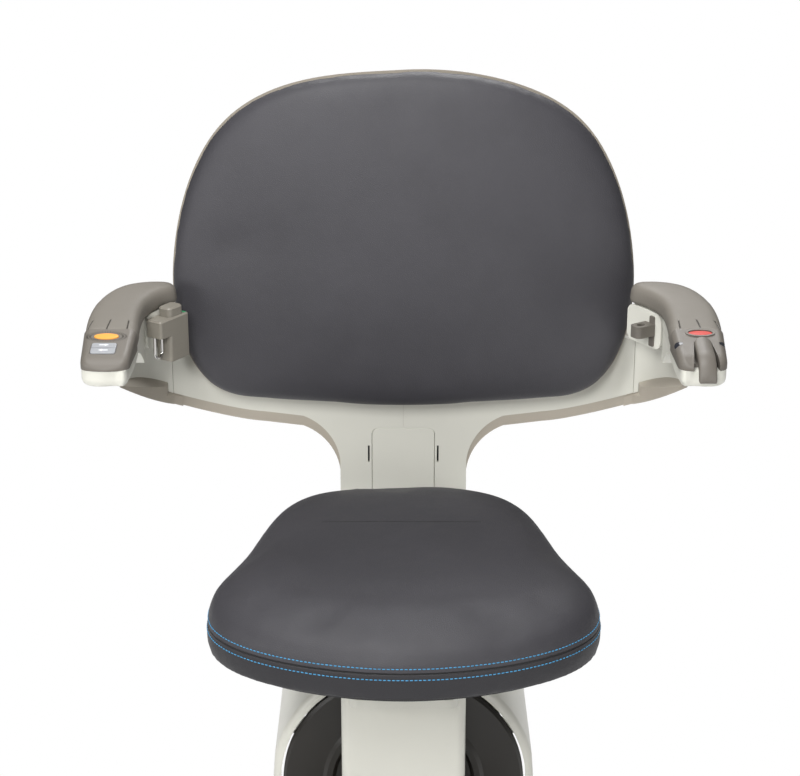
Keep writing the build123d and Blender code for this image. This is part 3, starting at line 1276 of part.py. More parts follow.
with BuildPart() as belt_block:
    # full-height body with an overhanging head that holds the hook
    with BuildSketch(cheek_level(BLOCK_Z)):
        with Locations(((BLOCK_S0 + 32) / 2, -BLOCK_T / 2)):
            RectangleRounded(32 - BLOCK_S0, BLOCK_T, 3)
    extrude(amount=BLOCK_TOP - BLOCK_Z)
    with BuildSketch(cheek_level(BLOCK_STEP)):
        with Locations(((BLOCK_S0 + BLOCK_S1) / 2, -BLOCK_T / 2)):
            RectangleRounded(BLOCK_S1 - BLOCK_S0, BLOCK_T, 3)
    extrude(amount=BLOCK_TOP - BLOCK_STEP)
    chamfer(belt_block.faces().sort_by(Axis.Z)[-1].edges(), 1.5)
    with BuildSketch(cheek_level(BLOCK_TOP - 6)):
        with Locations((CAP_S, -BLOCK_T / 2)):
            RectangleRounded(22 + 2 * GAP, 16 + 2 * GAP, 5)
    extrude(amount=10, mode=Mode.SUBTRACT)
mirrored(belt_block, "belt_handle")

with BuildPart() as belt_cap:
    with BuildSketch(cheek_level(BLOCK_TOP - 2.6)):
        with Locations((CAP_S, -BLOCK_T / 2)):
            RectangleRounded(22, 16, 4.7)
    extrude(amount=12)
    chamfer(belt_cap.faces().sort_by(Axis.Z)[-1].edges(), 1.4)
mirrored(belt_cap, "belt_release_cap")

with BuildPart() as belt_hook:
    # bent wire loop under the head of the belt handle
    hook_plane = Plane(origin=CHEEK_PLANE.from_local_coords((0, 0, BLOCK_T / 2)), x_dir=CHEEK_DIR,
                       z_dir=CHEEK_NORMAL)
    drop = BLOCK_STEP - CHEEK_FOOT
    with BuildLine(hook_plane):
        first = Line((HOOK_S - HOOK_HALF, drop), (HOOK_S - HOOK_HALF, drop - HOOK_DROP))
        loop = ThreePointArc(first @ 1, (HOOK_S, drop - HOOK_DROP - HOOK_HALF),
                             (HOOK_S + HOOK_HALF, drop - HOOK_DROP))
        Line(loop @ 1, (HOOK_S + HOOK_HALF, drop))
    with BuildSketch(Plane(origin=first @ 0, z_dir=first % 0)):
        Circle(HOOK_WIRE_R)
    sweep()
mirrored(belt_hook, "belt_hook")
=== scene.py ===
import json
import math

import bpy
from mathutils import Matrix, Vector
from mathutils.bvhtree import BVHTree


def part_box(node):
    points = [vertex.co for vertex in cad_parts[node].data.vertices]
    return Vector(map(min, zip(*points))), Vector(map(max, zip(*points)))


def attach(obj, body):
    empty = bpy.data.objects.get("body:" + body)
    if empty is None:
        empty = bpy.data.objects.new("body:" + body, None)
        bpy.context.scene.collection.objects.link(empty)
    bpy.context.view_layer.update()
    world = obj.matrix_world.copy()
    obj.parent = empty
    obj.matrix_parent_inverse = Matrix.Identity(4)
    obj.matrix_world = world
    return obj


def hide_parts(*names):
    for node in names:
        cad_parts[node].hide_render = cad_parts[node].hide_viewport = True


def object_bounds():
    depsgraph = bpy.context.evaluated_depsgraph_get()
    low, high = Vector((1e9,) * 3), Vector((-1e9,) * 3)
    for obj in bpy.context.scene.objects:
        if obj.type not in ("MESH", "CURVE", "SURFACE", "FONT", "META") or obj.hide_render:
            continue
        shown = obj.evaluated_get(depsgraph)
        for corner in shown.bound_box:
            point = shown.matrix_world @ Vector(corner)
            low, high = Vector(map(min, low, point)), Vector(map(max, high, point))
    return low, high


bl_info = {
    "name": "Stairlift chair",
    "version": (1, 0, 0),
    "blender": (4, 5, 0),
    "location": "View3D > Sidebar > Stairlift chair",
    "description": "Dresses the packed stairlift chair in leather, moulded plastic and metal",
    "category": "Object",
}

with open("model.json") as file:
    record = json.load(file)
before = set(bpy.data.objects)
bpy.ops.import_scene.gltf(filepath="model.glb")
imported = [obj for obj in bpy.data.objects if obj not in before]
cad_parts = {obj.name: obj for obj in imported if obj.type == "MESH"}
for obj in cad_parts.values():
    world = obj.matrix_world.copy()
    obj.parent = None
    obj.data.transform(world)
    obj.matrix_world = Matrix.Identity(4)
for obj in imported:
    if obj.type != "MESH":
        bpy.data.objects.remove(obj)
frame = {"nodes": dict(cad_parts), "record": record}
NODES = frame["nodes"]
CAD_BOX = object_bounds()

# the seam round the seat, over the underside of the cushion, and where the seat's soft top starts over it
SEAM_RISE = 0.0292
SEAT_SOFT_RISE = 0.024
SEAT_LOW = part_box("seat_cushion")[0]
SEAM_Z = SEAT_LOW.z + SEAM_RISE

# the short seam across the top of the seat near its rear
REAR_SEAM_Y = -0.197
REAR_SEAM_X = -0.0015
REAR_SEAM_HALF = 0.08

# the backrest leans back by this angle
BACK_LEAN = math.radians(8)
BACK_OUTWARD = Vector((0, -math.cos(BACK_LEAN), math.sin(BACK_LEAN)))
BACK_UPWARD = Vector((0, math.sin(BACK_LEAN), math.cos(BACK_LEAN)))
# a point in the plane of its cushion's rear rim, the outline's centre in that plane, and how far the
# rolled edge and the crown stand in front of it
BACK_RIM = Vector((0, -0.0235, 0.545))
BACK_CENTRE = Vector((0, -0.0221, 0.5552))
BACK_EDGE = 0.021
BACK_CROWN = 0.0458
BACK_SOFT_RISE = 0.004
# share of the way from the edge to the centre where the crown starts, the share that it blends in over,
# and the power that makes it full
CROWN_START = 0.03
CROWN_BLEND = 0.04
CROWN_POWER = 0.42

# upholstery: what lies this near a cushion's rear or underside stays still, then the pressures, the
# furthest that the cloth may move, mesh sizes, frames of simulation and rounds of smoothing
HELD_DEPTH = 0.004
CUSHION_PRESSURE, PAD_PRESSURE = 2.0, 1.5
SEAT_CAP, BACK_CAP, PAD_CAP = 0.003, 0.002, 0.0012
PAD_VOXEL = 0.003
CLOTH_FRAMES = 20
EDGE_ROUNDS, SOFT_ROUNDS, FOAM_ROUNDS = 6, 60, 22
WELD_DISTANCE = 0.00002

# grooves of the armrest pads: where each starts across and how it leans, the line that it starts from,
# and the fades at its rear end, at its front end and under the pad's top
PAD_GROOVES = ((0.2990, 0.10), (0.2817, 0.02), (0.2645, -0.06))
GROOVE_Y = -0.200
GROOVE_REAR = (-0.203, -0.199)
GROOVE_FRONT = (-0.2295, -0.2265)
GROOVE_LEVEL = (0.515, 0.518)

# the control pods slope by this angle; the joystick's pod has its middle and its side edge here
POD_LEAN = math.radians(10.5)
POD_FACE = Vector((0, -math.sin(POD_LEAN), math.cos(POD_LEAN)))
POD_DOWN = Vector((0, -math.cos(POD_LEAN), -math.sin(POD_LEAN)))
POD_X = 0.2785
POD_EDGE = (0.0165, 0.0175)
# centre and half sizes of the oval window on each of its sides
WINDOW_Y, WINDOW_Z = -0.2563, 0.5185
WINDOW_HALF_LENGTH, WINDOW_HALF_HEIGHT = 0.0042, 0.0031

# the joystick's cap: mesh size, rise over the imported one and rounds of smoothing; then its lamp
STICK_VOXEL = 0.0007
STICK_RISE = 0.0021
STICK_ROUNDS = 10
LAMP_FROM = (0.2792, -0.45, 0.5119)
LAMP_RADIUS, LAMP_HEIGHT, LAMP_LIFT = 0.0011, 0.0004, 0.0008

# two oval rings of ticks round the call button: half width and half length of each, ticks in a ring,
# and a tick's half length, half width, height and bevel
TICK_RINGS = ((0.0157, 0.0078), (0.0186, 0.0096))
TICK_COUNT = 46
TICK_HALF_LENGTH, TICK_HALF_WIDTH, TICK_HEIGHT, PRINT_BEVEL = 0.0009, 0.00022, 0.00018, 0.00005
# outline and height of the rocker's arrows, and how far each lies from the rocker's middle
ARROW = ((-0.0046, -0.0007), (0.0008, -0.0007), (0.0008, -0.0019), (0.0046, 0.0),
         (0.0008, 0.0019), (0.0008, 0.0007), (-0.0046, 0.0007))
ARROW_HEIGHT = 0.0002
ARROW_OFFSET = 0.0049
# release mark on the belt's handle: the point over it, its direction, half sizes, height and bevel
MARK_FROM = (-0.2249, -0.0967, 0.60)
MARK_ALONG = (0.8387, -0.5446, 0)
MARK_HALF_LENGTH, MARK_HALF_WIDTH, MARK_HEIGHT, MARK_BEVEL = 0.0034, 0.0016, 0.0003, 0.0001

# x and z of each pair of screws at the back, with the radius and height of their heads
SHELL_SCREWS = ((0.050, 0.250), (0.050, 0.330), (0.150, 0.418), (0.215, 0.424))
SHELL_HEAD = (0.0048, 0.0022)
BRACKET_BOLTS = ((0.038, 0.488), (0.038, 0.586))
BRACKET_HEAD = (0.0065, 0.004)

# the photograph's camera, the lamps (place, aim, size in metres, watts), the floor and the surroundings
CAMERA_PLACE = (-0.00357, -1.9872, 1.1062)
CAMERA_TILT = math.radians(70)
CAMERA_LENS, CAMERA_SENSOR = 87.75, 36
LAMPS = {
    "key softbox": ((-0.35, -2.1, 1.55), (0, -0.05, 0.42), 0.5, 26),
    "side softbox": ((-1.9, -1.5, 1.0), (0, -0.1, 0.4), 0.8, 18),
    "low softbox": ((1.2, -1.9, 0.45), (-0.2, -0.1, 0.45), 0.6, 8),
    "rim softbox": ((0.2, 1.2, 1.9), (0, -0.2, 0.4), 0.9, 22),
    "top softbox": ((-0.2, -0.6, 2.1), (0, -0.25, 0.3), 0.7, 26),
}
FLOOR_RADIUS = 4
FLOOR_GAP = 0.09
FLOOR_COLOUR = (0.86, 0.86, 0.86, 1)
WORLD_LIGHT = 0.12


def linear(red, green, blue):
    """A colour seen as these 0-255 values, as the linear numbers that a shader takes."""
    return tuple(((c / 255 + 0.055) / 1.055) ** 2.4 if c > 10 else c / 255 / 12.92
                 for c in (red, green, blue))


# ------------------------------------------------------------------ settings
class ChairFinishSettings(bpy.types.PropertyGroup):
    """Colours and grain of the chair's finishes."""
    leather: bpy.props.FloatVectorProperty(
        name="Leather", description="Colour of the seat and backrest leather", subtype="COLOR",
        size=3, min=0, max=1, default=linear(60, 59, 63))
    ivory: bpy.props.FloatVectorProperty(
        name="Ivory covers", description="Colour of the pale moulded covers", subtype="COLOR",
        size=3, min=0, max=1, default=linear(216, 215, 205))
    taupe: bpy.props.FloatVectorProperty(
        name="Taupe covers", description="Colour of the darker moulded covers", subtype="COLOR",
        size=3, min=0, max=1, default=linear(142, 134, 121))
    arm_pad: bpy.props.FloatVectorProperty(
        name="Armrest pads", description="Colour of the soft armrest pads", subtype="COLOR",
        size=3, min=0, max=1, default=linear(118, 113, 105))
    pod: bpy.props.FloatVectorProperty(
        name="Control pods", description="Colour of the pods that hold the buttons", subtype="COLOR",
        size=3, min=0, max=1, default=linear(104, 99, 92))
    rear: bpy.props.FloatVectorProperty(
        name="Rear shell", description="Colour of the moulded shell behind the spine", subtype="COLOR",
        size=3, min=0, max=1, default=linear(176, 168, 155))
    handle: bpy.props.FloatVectorProperty(
        name="Belt handle", description="Colour of the belt's handle and its release cap", subtype="COLOR",
        size=3, min=0, max=1, default=linear(134, 129, 119))
    thread: bpy.props.FloatVectorProperty(
        name="Thread", description="Colour of the blue seat stitching", subtype="COLOR",
        size=3, min=0, max=1, default=linear(64, 142, 188))
    grain: bpy.props.FloatProperty(
        name="Leather grain", description="Size of one pebble of the leather's grain", subtype="DISTANCE",
        unit="LENGTH", default=0.0016, min=0.0005, max=0.005)


class ChairSizeSettings(bpy.types.PropertyGroup):
    """Sizes of the sewn and moulded details."""
    stitch_pitch: bpy.props.FloatProperty(
        name="Stitch pitch", description="Distance from one stitch to the next", unit="LENGTH",
        default=0.0040, min=0.002, max=0.01)
    stitch_length: bpy.props.FloatProperty(
        name="Stitch length", description="Visible length of one stitch", unit="LENGTH",
        default=0.0029, min=0.001, max=0.008)
    thread_radius: bpy.props.FloatProperty(
        name="Thread radius", description="Radius of the sewing thread", unit="LENGTH",
        default=0.00055, min=0.0002, max=0.002)
    upper_row: bpy.props.FloatProperty(
        name="Upper row", description="Height of the upper stitch row over the seam", unit="LENGTH",
        default=0.0046, min=0.001, max=0.02)
    lower_row: bpy.props.FloatProperty(
        name="Lower row", description="Depth of the lower stitch row under the seam", unit="LENGTH",
        default=0.0054, min=0.001, max=0.02)
    voxel: bpy.props.FloatProperty(
        name="Cloth voxel", description="Mesh size of the cushions during their simulation", unit="LENGTH",
        default=0.005, min=0.003, max=0.01)


# ------------------------------------------------------------------ shader expressions
class Amount:
    """A number or colour that varies over a surface. Arithmetic on it adds Math nodes."""

    def __init__(self, finish, socket):
        self.finish = finish
        self.socket = socket

    def math(self, operation, other=0.0, flipped=False):
        first, second = (other, self) if flipped else (self, other)
        return self.finish.node("ShaderNodeMath", {"operation": operation}, {0: first, 1: second})

    def __add__(self, other):
        return self.math("ADD", other)

    __radd__ = __add__

    def __sub__(self, other):
        return self.math("SUBTRACT", other)

    def __rsub__(self, other):
        return self.math("SUBTRACT", other, flipped=True)

    def __mul__(self, other):
        return self.math("MULTIPLY", other)

    def __abs__(self):
        return self.math("ABSOLUTE")

    def larger(self, other):
        return self.math("MAXIMUM", other)

    def between(self, low, high):
        """0 at or under low, 1 at or over high, smooth between them."""
        return self.finish.node("ShaderNodeMapRange", {"interpolation_type": "SMOOTHSTEP"},
                                {"Value": self, "From Min": low, "From Max": high})


class Finish:
    """A material whose varying inputs come from expressions on the object's own coordinates."""

    def __init__(self, name, **constants):
        self.material = bpy.data.materials.new(name)
        self.material.use_nodes = True
        self.tree = self.material.node_tree
        self.shader = self.tree.nodes["Principled BSDF"]
        for words, value in constants.items():
            self.shader.inputs[words.replace("_", " ").title().replace("Ior", "IOR")].default_value = value
        self.place = self.node("ShaderNodeTexCoord", {}, {}, "Object")
        split = self.tree.nodes.new("ShaderNodeSeparateXYZ")
        self.tree.links.new(self.place.socket, split.inputs[0])
        self.x, self.y, self.z = (Amount(self, split.outputs[i]) for i in range(3))

    def node(self, kind, settings, inputs, output=0):
        """Adds a node: its settings first, then the values or links of its sockets."""
        node = self.tree.nodes.new(kind)
        for name, value in settings.items():
            if name == "stops":
                ramp = node.color_ramp.elements
                for index, (position, colour) in enumerate(value):
                    stop = ramp[index] if index < len(ramp) else ramp.new(position)
                    stop.position = position
                    stop.color = (*colour, 1)
            else:
                setattr(node, name, value)
        for name, value in inputs.items():
            if isinstance(value, Amount):
                self.tree.links.new(value.socket, node.inputs[name])
            elif isinstance(value, tuple) and len(value) == 3 and node.inputs[name].type == "RGBA":
                node.inputs[name].default_value = (*value, 1)
            else:
                node.inputs[name].default_value = value
        return Amount(self, node.outputs[output])

    def noise(self, scale, detail=2.0, roughness=0.5, vector=None):
        inputs = {"Vector": vector or self.place, "Scale": scale, "Detail": detail, "Roughness": roughness}
        return self.node("ShaderNodeTexNoise", {}, inputs, "Fac")

    def pebbles(self, size):
        """Distance to the edges of irregular cells of about this size."""
        return self.node("ShaderNodeTexVoronoi", {"feature": "DISTANCE_TO_EDGE"},
                         {"Vector": self.place, "Scale": 1 / size}, "Distance")

    def stretched(self, x, y, z):
        """The object's coordinates, scaled along its axes."""
        return self.node("ShaderNodeMapping", {}, {"Vector": self.place, "Scale": (x, y, z)})

    def mix(self, factor, first, second):
        """One colour laid over another."""
        inputs = {0: factor}
        for index, colour in ((6, first), (7, second)):
            inputs[index] = colour if isinstance(colour, Amount) else (*colour, 1)
        return self.node("ShaderNodeMix", {"data_type": "RGBA"}, inputs, 2)

    def feed(self, socket, amount):
        self.tree.links.new(amount.socket, self.shader.inputs[socket])

    def bump(self, *heights):
        """Stacks bumps of (height, metres that a height of 1 stands for)."""
        normal = None
        for height, distance in heights:
            inputs = {"Height": height, "Distance": distance, "Strength": 1.0}
            if normal:
                inputs["Normal"] = normal
            normal = self.node("ShaderNodeBump", {}, inputs)
        self.feed("Normal", normal)


# ------------------------------------------------------------------ finishes
def leather(name, colour, grain, seams=None, folds=None):
    """Soft coated leather: pebbled grain, faint mottling and a dull sheen; on the seat, painted shade under
    the seam and in its groove.
    """
    finish = Finish(name, specular_ior_level=0.38)
    pebble = finish.pebbles(grain).between(0.0, 0.42)
    fine = finish.noise(2600, 3)
    cloud = finish.noise(9, 4, 0.6)
    blotch = finish.noise(60, 3, 0.55)
    shade = cloud.between(0.3, 0.7) * 0.5 + blotch * 0.3 + pebble * 0.2
    tone = finish.mix(shade, tuple(c * 0.84 for c in colour), tuple(c * 1.14 for c in colour))
    heights = [(cloud, 0.0012), (pebble * 0.75 + fine * 0.25, 0.00011)]
    if folds:
        heights.insert(0, (folds(finish), 0.0022))
    if seams:
        # painted shade: the side under the seam is darker than the side over it, standing in for shade on the
        # lower band
        painted_shade_below_seam = 1 - finish.z.between(SEAM_Z - 0.004, SEAM_Z + 0.004)
        tone = finish.mix(painted_shade_below_seam * 0.8, tone, tuple(c * 0.45 for c in colour))
        groove = seams(finish)
        # painted shade: the seam's groove is darkened as shade in it, besides the bump that sinks it
        tone = finish.mix(groove, tone, tuple(c * 0.15 for c in colour))
        heights.insert(0, (groove, -0.0014))
    finish.feed("Base Color", tone)
    finish.feed("Roughness", 0.5 + blotch * 0.12 - pebble * 0.05)
    finish.bump(*heights)
    return finish.material


def moulded(name, colour, rough=0.42, texture=0.00003, clear=0.0, marks=None, sunk_colour_and_shade=(0.01, 0.01, 0.01),
            groove=-0.0008):
    """Injection-moulded plastic: spark-eroded micro texture, faint colour drift, and sunk marks darkened:
    with painted shade in the pad grooves, in their own colour for the pod windows.
    """
    finish = Finish(name, specular_ior_level=0.45, coat_weight=clear, coat_roughness=0.25)
    drift = finish.noise(7, 3, 0.6)
    speck = finish.noise(1900, 2, 0.7)
    scuff = finish.noise(38, 5, 0.62)
    tone = finish.mix(drift.between(0.3, 0.7) * 0.7 + speck * 0.3,
                      tuple(c * 0.965 for c in colour), tuple(min(1, c * 1.02) for c in colour))
    surface = rough - 0.06 + scuff * 0.12
    heights = [(speck, texture)]
    if marks:
        sunk = marks(finish)
        # sunk marks take the given darker colour: painted shade in the armrest pads' grooves, the windows'
        # own colour on the joystick's pod
        tone = finish.mix(sunk, tone, sunk_colour_and_shade)
        surface = surface * (1 - sunk * 0.6)
        heights.insert(0, (sunk, groove))
    finish.feed("Base Color", tone)
    finish.feed("Roughness", surface)
    finish.bump(*heights)
    return finish.material


def metal(name, colour, rough, brushed=(1, 1, 1), paint=False):
    """Bare or powder-coated metal with fine brushing and handling wear."""
    finish = Finish(name, metallic=0.0 if paint else 1.0)
    streak = finish.noise(900, 4, 0.6, finish.stretched(*brushed))
    stain = finish.noise(24, 4, 0.6)
    finish.feed("Base Color", finish.mix(stain * 0.5 + streak * 0.5, tuple(c * 0.85 for c in colour),
                                         tuple(min(1, c * 1.1) for c in colour)))
    finish.feed("Roughness", rough + (streak - 0.5) * 0.16 + (stain - 0.5) * 0.08)
    finish.bump((streak, 0.00006 if paint else 0.00002))
    return finish.material


def seat_seams(finish):
    """Groove all round the seat between its stitch rows, and the short seam across its rear."""
    around = 1 - abs(finish.z - SEAM_Z).between(0.0003, 0.0013)
    across = 1 - abs(finish.y - REAR_SEAM_Y).between(0.0002, 0.0008)
    ends = 1 - abs(finish.x - REAR_SEAM_X).between(REAR_SEAM_HALF - 0.0005, REAR_SEAM_HALF + 0.0005)
    top = finish.z.between(SEAM_Z + 0.01, SEAM_Z + 0.012)
    return around.larger(across * ends * top)


def seat_folds(finish):
    """Shallow creases that fan out near the seat's two front corners."""
    waves = finish.noise(34, 2, 0.5, finish.stretched(1.0, 0.35, 1.8))
    front = 1 - finish.y.between(-0.415, -0.35)
    side = abs(finish.x).between(0.08, 0.15)
    return waves * front * side


def pad_grooves(finish):
    """Three short grooves near the front of each armrest pad."""
    along = (1 - finish.y.between(*GROOVE_REAR)) * finish.y.between(*GROOVE_FRONT)
    reach = finish.y - GROOVE_Y
    total = None
    for start, lean in PAD_GROOVES:
        line = 1 - abs(abs(finish.x) + reach * lean - start).between(0.0003, 0.0009)
        total = line if total is None else total.larger(line)
    return total * along * finish.z.between(*GROOVE_LEVEL)


def pod_windows(finish):
    """Two dark oval windows low on the rounded edges of the joystick's pod."""
    along = (finish.y - WINDOW_Y) * (1 / WINDOW_HALF_LENGTH)
    up = (finish.z - WINDOW_Z) * (1 / WINDOW_HALF_HEIGHT)
    round_edge = abs(finish.x - POD_X).between(*POD_EDGE)
    return (1 - (along * along + up * up).between(0.85, 1.15)) * round_edge


SLOT_FINISHES = {}


def dress_frame():
    """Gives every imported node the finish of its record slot, or ivory paint for the two painted frames."""
    for row in frame["record"]["subparts"]:
        node = NODES[row["node"]]
        painted = row["node"] in ("seat_carrier", "column_frame")
        material = SLOT_FINISHES["ivory_paint" if painted else row["material_slot"]]
        if not node.material_slots:
            node.data.materials.append(material)
        for place in node.material_slots:
            place.material = material


# ------------------------------------------------------------------ mesh helpers
def only(piece):
    """Makes a piece the one selected and active object."""
    if bpy.context.mode != "OBJECT":
        bpy.ops.object.mode_set(mode="OBJECT")
    bpy.ops.object.select_all(action="DESELECT")
    piece.select_set(True)
    bpy.context.view_layer.objects.active = piece
    return piece


def apply_modifier(piece, kind, **settings):
    only(piece)
    modifier = piece.modifiers.new(kind, kind)
    for name, value in settings.items():
        setattr(modifier, name, value)
    bpy.ops.object.modifier_apply(modifier=modifier.name)


def merged_copy(node, name):
    """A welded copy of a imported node's mesh, as an object of its own."""
    piece = bpy.data.objects.new(name, NODES[node].data.copy())
    bpy.context.scene.collection.objects.link(piece)
    piece.data.materials.clear()
    only(piece)
    bpy.ops.object.mode_set(mode="EDIT")
    bpy.ops.mesh.select_all(action="SELECT")
    bpy.ops.mesh.remove_doubles(threshold=WELD_DISTANCE)
    bpy.ops.object.mode_set(mode="OBJECT")
    bpy.ops.mesh.customdata_custom_splitnormals_clear()
    return piece


def hand_over(piece, body, slot, material, *nodes):
    """Gives a finished piece its material and its body, and hides the nodes that it stands in for."""
    piece.data.materials.clear()
    piece.data.materials.append(material)
    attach(piece, body)
    if nodes:
        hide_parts(*nodes)
    return piece


def puffed(node, name, voxel, pressure, cap, held, soft=None, shape=None):
    """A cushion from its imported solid, blown up a little as cloth over foam."""
    piece = merged_copy(node, name)
    apply_modifier(piece, "REMESH", mode="VOXEL", voxel_size=voxel, use_smooth_shade=True)
    if shape:
        shape(piece)
    apply_modifier(piece, "SMOOTH", factor=0.5, iterations=EDGE_ROUNDS)
    if soft:
        group = piece.vertex_groups.new(name="soft")
        group.add([v.index for v in piece.data.vertices if soft(v.co)], 1.0, "REPLACE")
        apply_modifier(piece, "SMOOTH", factor=0.5, iterations=SOFT_ROUNDS, vertex_group="soft")
    start = [v.co.copy() for v in piece.data.vertices]
    group = piece.vertex_groups.new(name="held")
    group.add([v.index for v in piece.data.vertices if held(v.co)], 1.0, "REPLACE")
    only(piece)
    cloth = piece.modifiers.new("Cloth", "CLOTH")
    cloth.settings.quality = 4
    cloth.settings.use_pressure = True
    cloth.settings.uniform_pressure_force = pressure
    cloth.settings.tension_stiffness = 20
    cloth.settings.compression_stiffness = 20
    cloth.settings.bending_stiffness = 4
    cloth.settings.vertex_group_mass = "held"
    cloth.settings.effector_weights.gravity = 0
    cloth.collision_settings.use_collision = False
    for step in range(1, CLOTH_FRAMES + 1):
        bpy.context.scene.frame_set(step)
    bpy.ops.object.modifier_apply(modifier=cloth.name)
    bpy.context.scene.frame_set(1)
    for vertex, origin in zip(piece.data.vertices, start):
        move = vertex.co - origin
        if move.length > cap:
            vertex.co = origin + move * (cap / move.length)
    # foam under the cover keeps all but the broadest folds flat
    apply_modifier(piece, "SMOOTH", factor=0.5, iterations=FOAM_ROUNDS, vertex_group="held",
                   invert_vertex_group=True)
    piece.vertex_groups.clear()
    apply_modifier(piece, "SUBSURF", levels=1, render_levels=1)
    only(piece)
    bpy.ops.object.shade_smooth()
    return piece


def crowned(piece):
    """Gives the backrest's front face one smooth crown that rises from the rolled edge."""
    flat = [(v.co.x, (v.co - BACK_CENTRE).dot(BACK_UPWARD), (v.co - BACK_CENTRE).dot(BACK_OUTWARD))
            for v in piece.data.vertices]
    reach = [0.0] * 360
    for across, up, _ in flat:
        spoke = int(math.degrees(math.atan2(up, across))) % 360
        reach[spoke] = max(reach[spoke], math.hypot(across, up))
    for vertex, (across, up, depth) in zip(piece.data.vertices, flat):
        if depth < BACK_EDGE * 0.8:
            continue
        first = int(math.degrees(math.atan2(up, across)) % 360) % 360
        edge = sum(reach[(first + offset) % 360] for offset in range(-3, 4)) / 7
        inward = max(0.0, edge - math.hypot(across, up)) / edge
        if inward > CROWN_START:
            rise = math.sin(math.pi / 2 * min(1.0, inward - CROWN_START / 2)) ** CROWN_POWER
            target = BACK_EDGE + (BACK_CROWN - BACK_EDGE) * rise
            vertex.co += BACK_OUTWARD * (target - depth) * min(1.0, (inward - CROWN_START) / CROWN_BLEND)


def smooth_copy(node, body, slot, finish=None, angle=32):
    """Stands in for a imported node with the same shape, welded and smooth shaded."""
    piece = merged_copy(node, node + "_cover")
    only(piece)
    bpy.ops.object.shade_smooth_by_angle(angle=math.radians(angle))
    return hand_over(piece, body, slot, SLOT_FINISHES[finish or slot], node)


def surface_under(node, origin, direction):
    """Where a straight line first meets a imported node, and the outward normal there."""
    mesh = NODES[node].data
    tree = BVHTree.FromPolygons([v.co for v in mesh.vertices], [f.vertices for f in mesh.polygons])
    place, normal = tree.ray_cast(Vector(origin), Vector(direction).normalized())[:2]
    if place is None:
        raise RuntimeError("nothing of " + node + " lies that way")
    return place, normal


def turned(place, along, outward):
    """Matrix that lays +X along a direction and +Z outwards at a place."""
    outward = outward.normalized()
    along = (along - outward * along.dot(outward)).normalized()
    side = outward.cross(along)
    matrix = Matrix((along, side, outward)).transposed().to_4x4()
    matrix.translation = place
    return matrix


def copies(model, name, places):
    """One piece made of a copy of the model at each place. The model goes."""
    made = []
    for matrix in places:
        copy = bpy.data.objects.new(name, model.data.copy())
        copy.data.transform(matrix)
        bpy.context.scene.collection.objects.link(copy)
        made.append(copy)
    bpy.ops.object.select_all(action="DESELECT")
    for copy in made:
        copy.select_set(True)
    bpy.context.view_layer.objects.active = made[0]
    if len(made) > 1:
        bpy.ops.object.join()
    made[0].name = name
    bpy.data.objects.remove(model)
    return made[0]


def edit(piece, mode="VERT"):
    """Opens a piece in edit mode with nothing selected."""
    only(piece)
    bpy.ops.object.mode_set(mode="EDIT")
    bpy.ops.mesh.select_mode(type=mode)
    bpy.ops.mesh.select_all(action="DESELECT")


def choose(piece, kind, test):
    """Selects the vertices, edges or faces that pass a test, in edit mode."""
    bpy.ops.object.mode_set(mode="OBJECT")
    for item in getattr(piece.data, kind):
        item.select = test(item)
    bpy.ops.object.mode_set(mode="EDIT")


def capsule(length, radius):
    """A short rod along X with round ends, as one stitch."""
    bpy.ops.object.select_all(action="DESELECT")
    bpy.ops.mesh.primitive_uv_sphere_add(segments=6, ring_count=6, radius=radius,
                                         rotation=(0, math.pi / 2, 0))
    piece = bpy.context.active_object
    bpy.ops.object.transform_apply(location=False, rotation=True, scale=False)
    for side in (-1, 1):
        edit(piece)
        choose(piece, "vertices", lambda v: v.co.x * side > radius * 0.1)
        bpy.ops.transform.translate(value=(side * (length / 2 - radius), 0, 0))
        bpy.ops.object.mode_set(mode="OBJECT")
    bpy.ops.object.shade_smooth()
    return piece


def screw_head(radius, height):
    """A round screw head with a rolled edge and a hexagonal socket, on the XY plane."""
    bpy.ops.object.select_all(action="DESELECT")
    bpy.ops.mesh.primitive_cylinder_add(vertices=30, radius=radius, depth=height, location=(0, 0, height / 2))
    piece = bpy.context.active_object
    bpy.ops.object.transform_apply(location=True, rotation=False, scale=False)
    edit(piece, "FACE")
    choose(piece, "polygons", lambda f: f.normal.z > 0.9)
    bpy.ops.mesh.bevel(offset=height * 0.35, segments=3, affect="EDGES")
    choose(piece, "polygons", lambda f: f.normal.z > 0.999 and f.center.z > height * 0.99)
    bpy.ops.mesh.inset(thickness=radius * 0.45)
    bpy.ops.mesh.extrude_region_move(TRANSFORM_OT_translate={"value": (0, 0, -height * 0.6)})
    bpy.ops.object.mode_set(mode="OBJECT")
    bpy.ops.object.shade_smooth_by_angle(angle=math.radians(30))
    return piece


def plate(outline, height, bevel):
    """A thin raised mark with this outline, on the XY plane."""
    bpy.ops.object.select_all(action="DESELECT")
    bpy.ops.mesh.primitive_circle_add(vertices=len(outline), radius=0.01, fill_type="NGON")
    piece = bpy.context.active_object
    for vertex, (x, y) in zip(piece.data.vertices, outline):
        vertex.co = (x, y, 0)
    edit(piece, "FACE")
    bpy.ops.mesh.select_all(action="SELECT")
    bpy.ops.mesh.extrude_region_move(TRANSFORM_OT_translate={"value": (0, 0, height)})
    bpy.ops.mesh.select_all(action="SELECT")
    bpy.ops.mesh.normals_make_consistent(inside=False)
    choose(piece, "polygons", lambda f: f.center.z > height * 0.9)
    bpy.ops.mesh.bevel(offset=bevel, segments=2, affect="EDGES")
    bpy.ops.object.mode_set(mode="OBJECT")
    bpy.ops.object.shade_smooth_by_angle(angle=math.radians(40))
    return piece


def oblong(half_length, half_width):
    """Outline of a rectangle with its middle at 0."""
    return [(-half_length, -half_width), (half_length, -half_width),
            (half_length, half_width), (-half_length, half_width)]


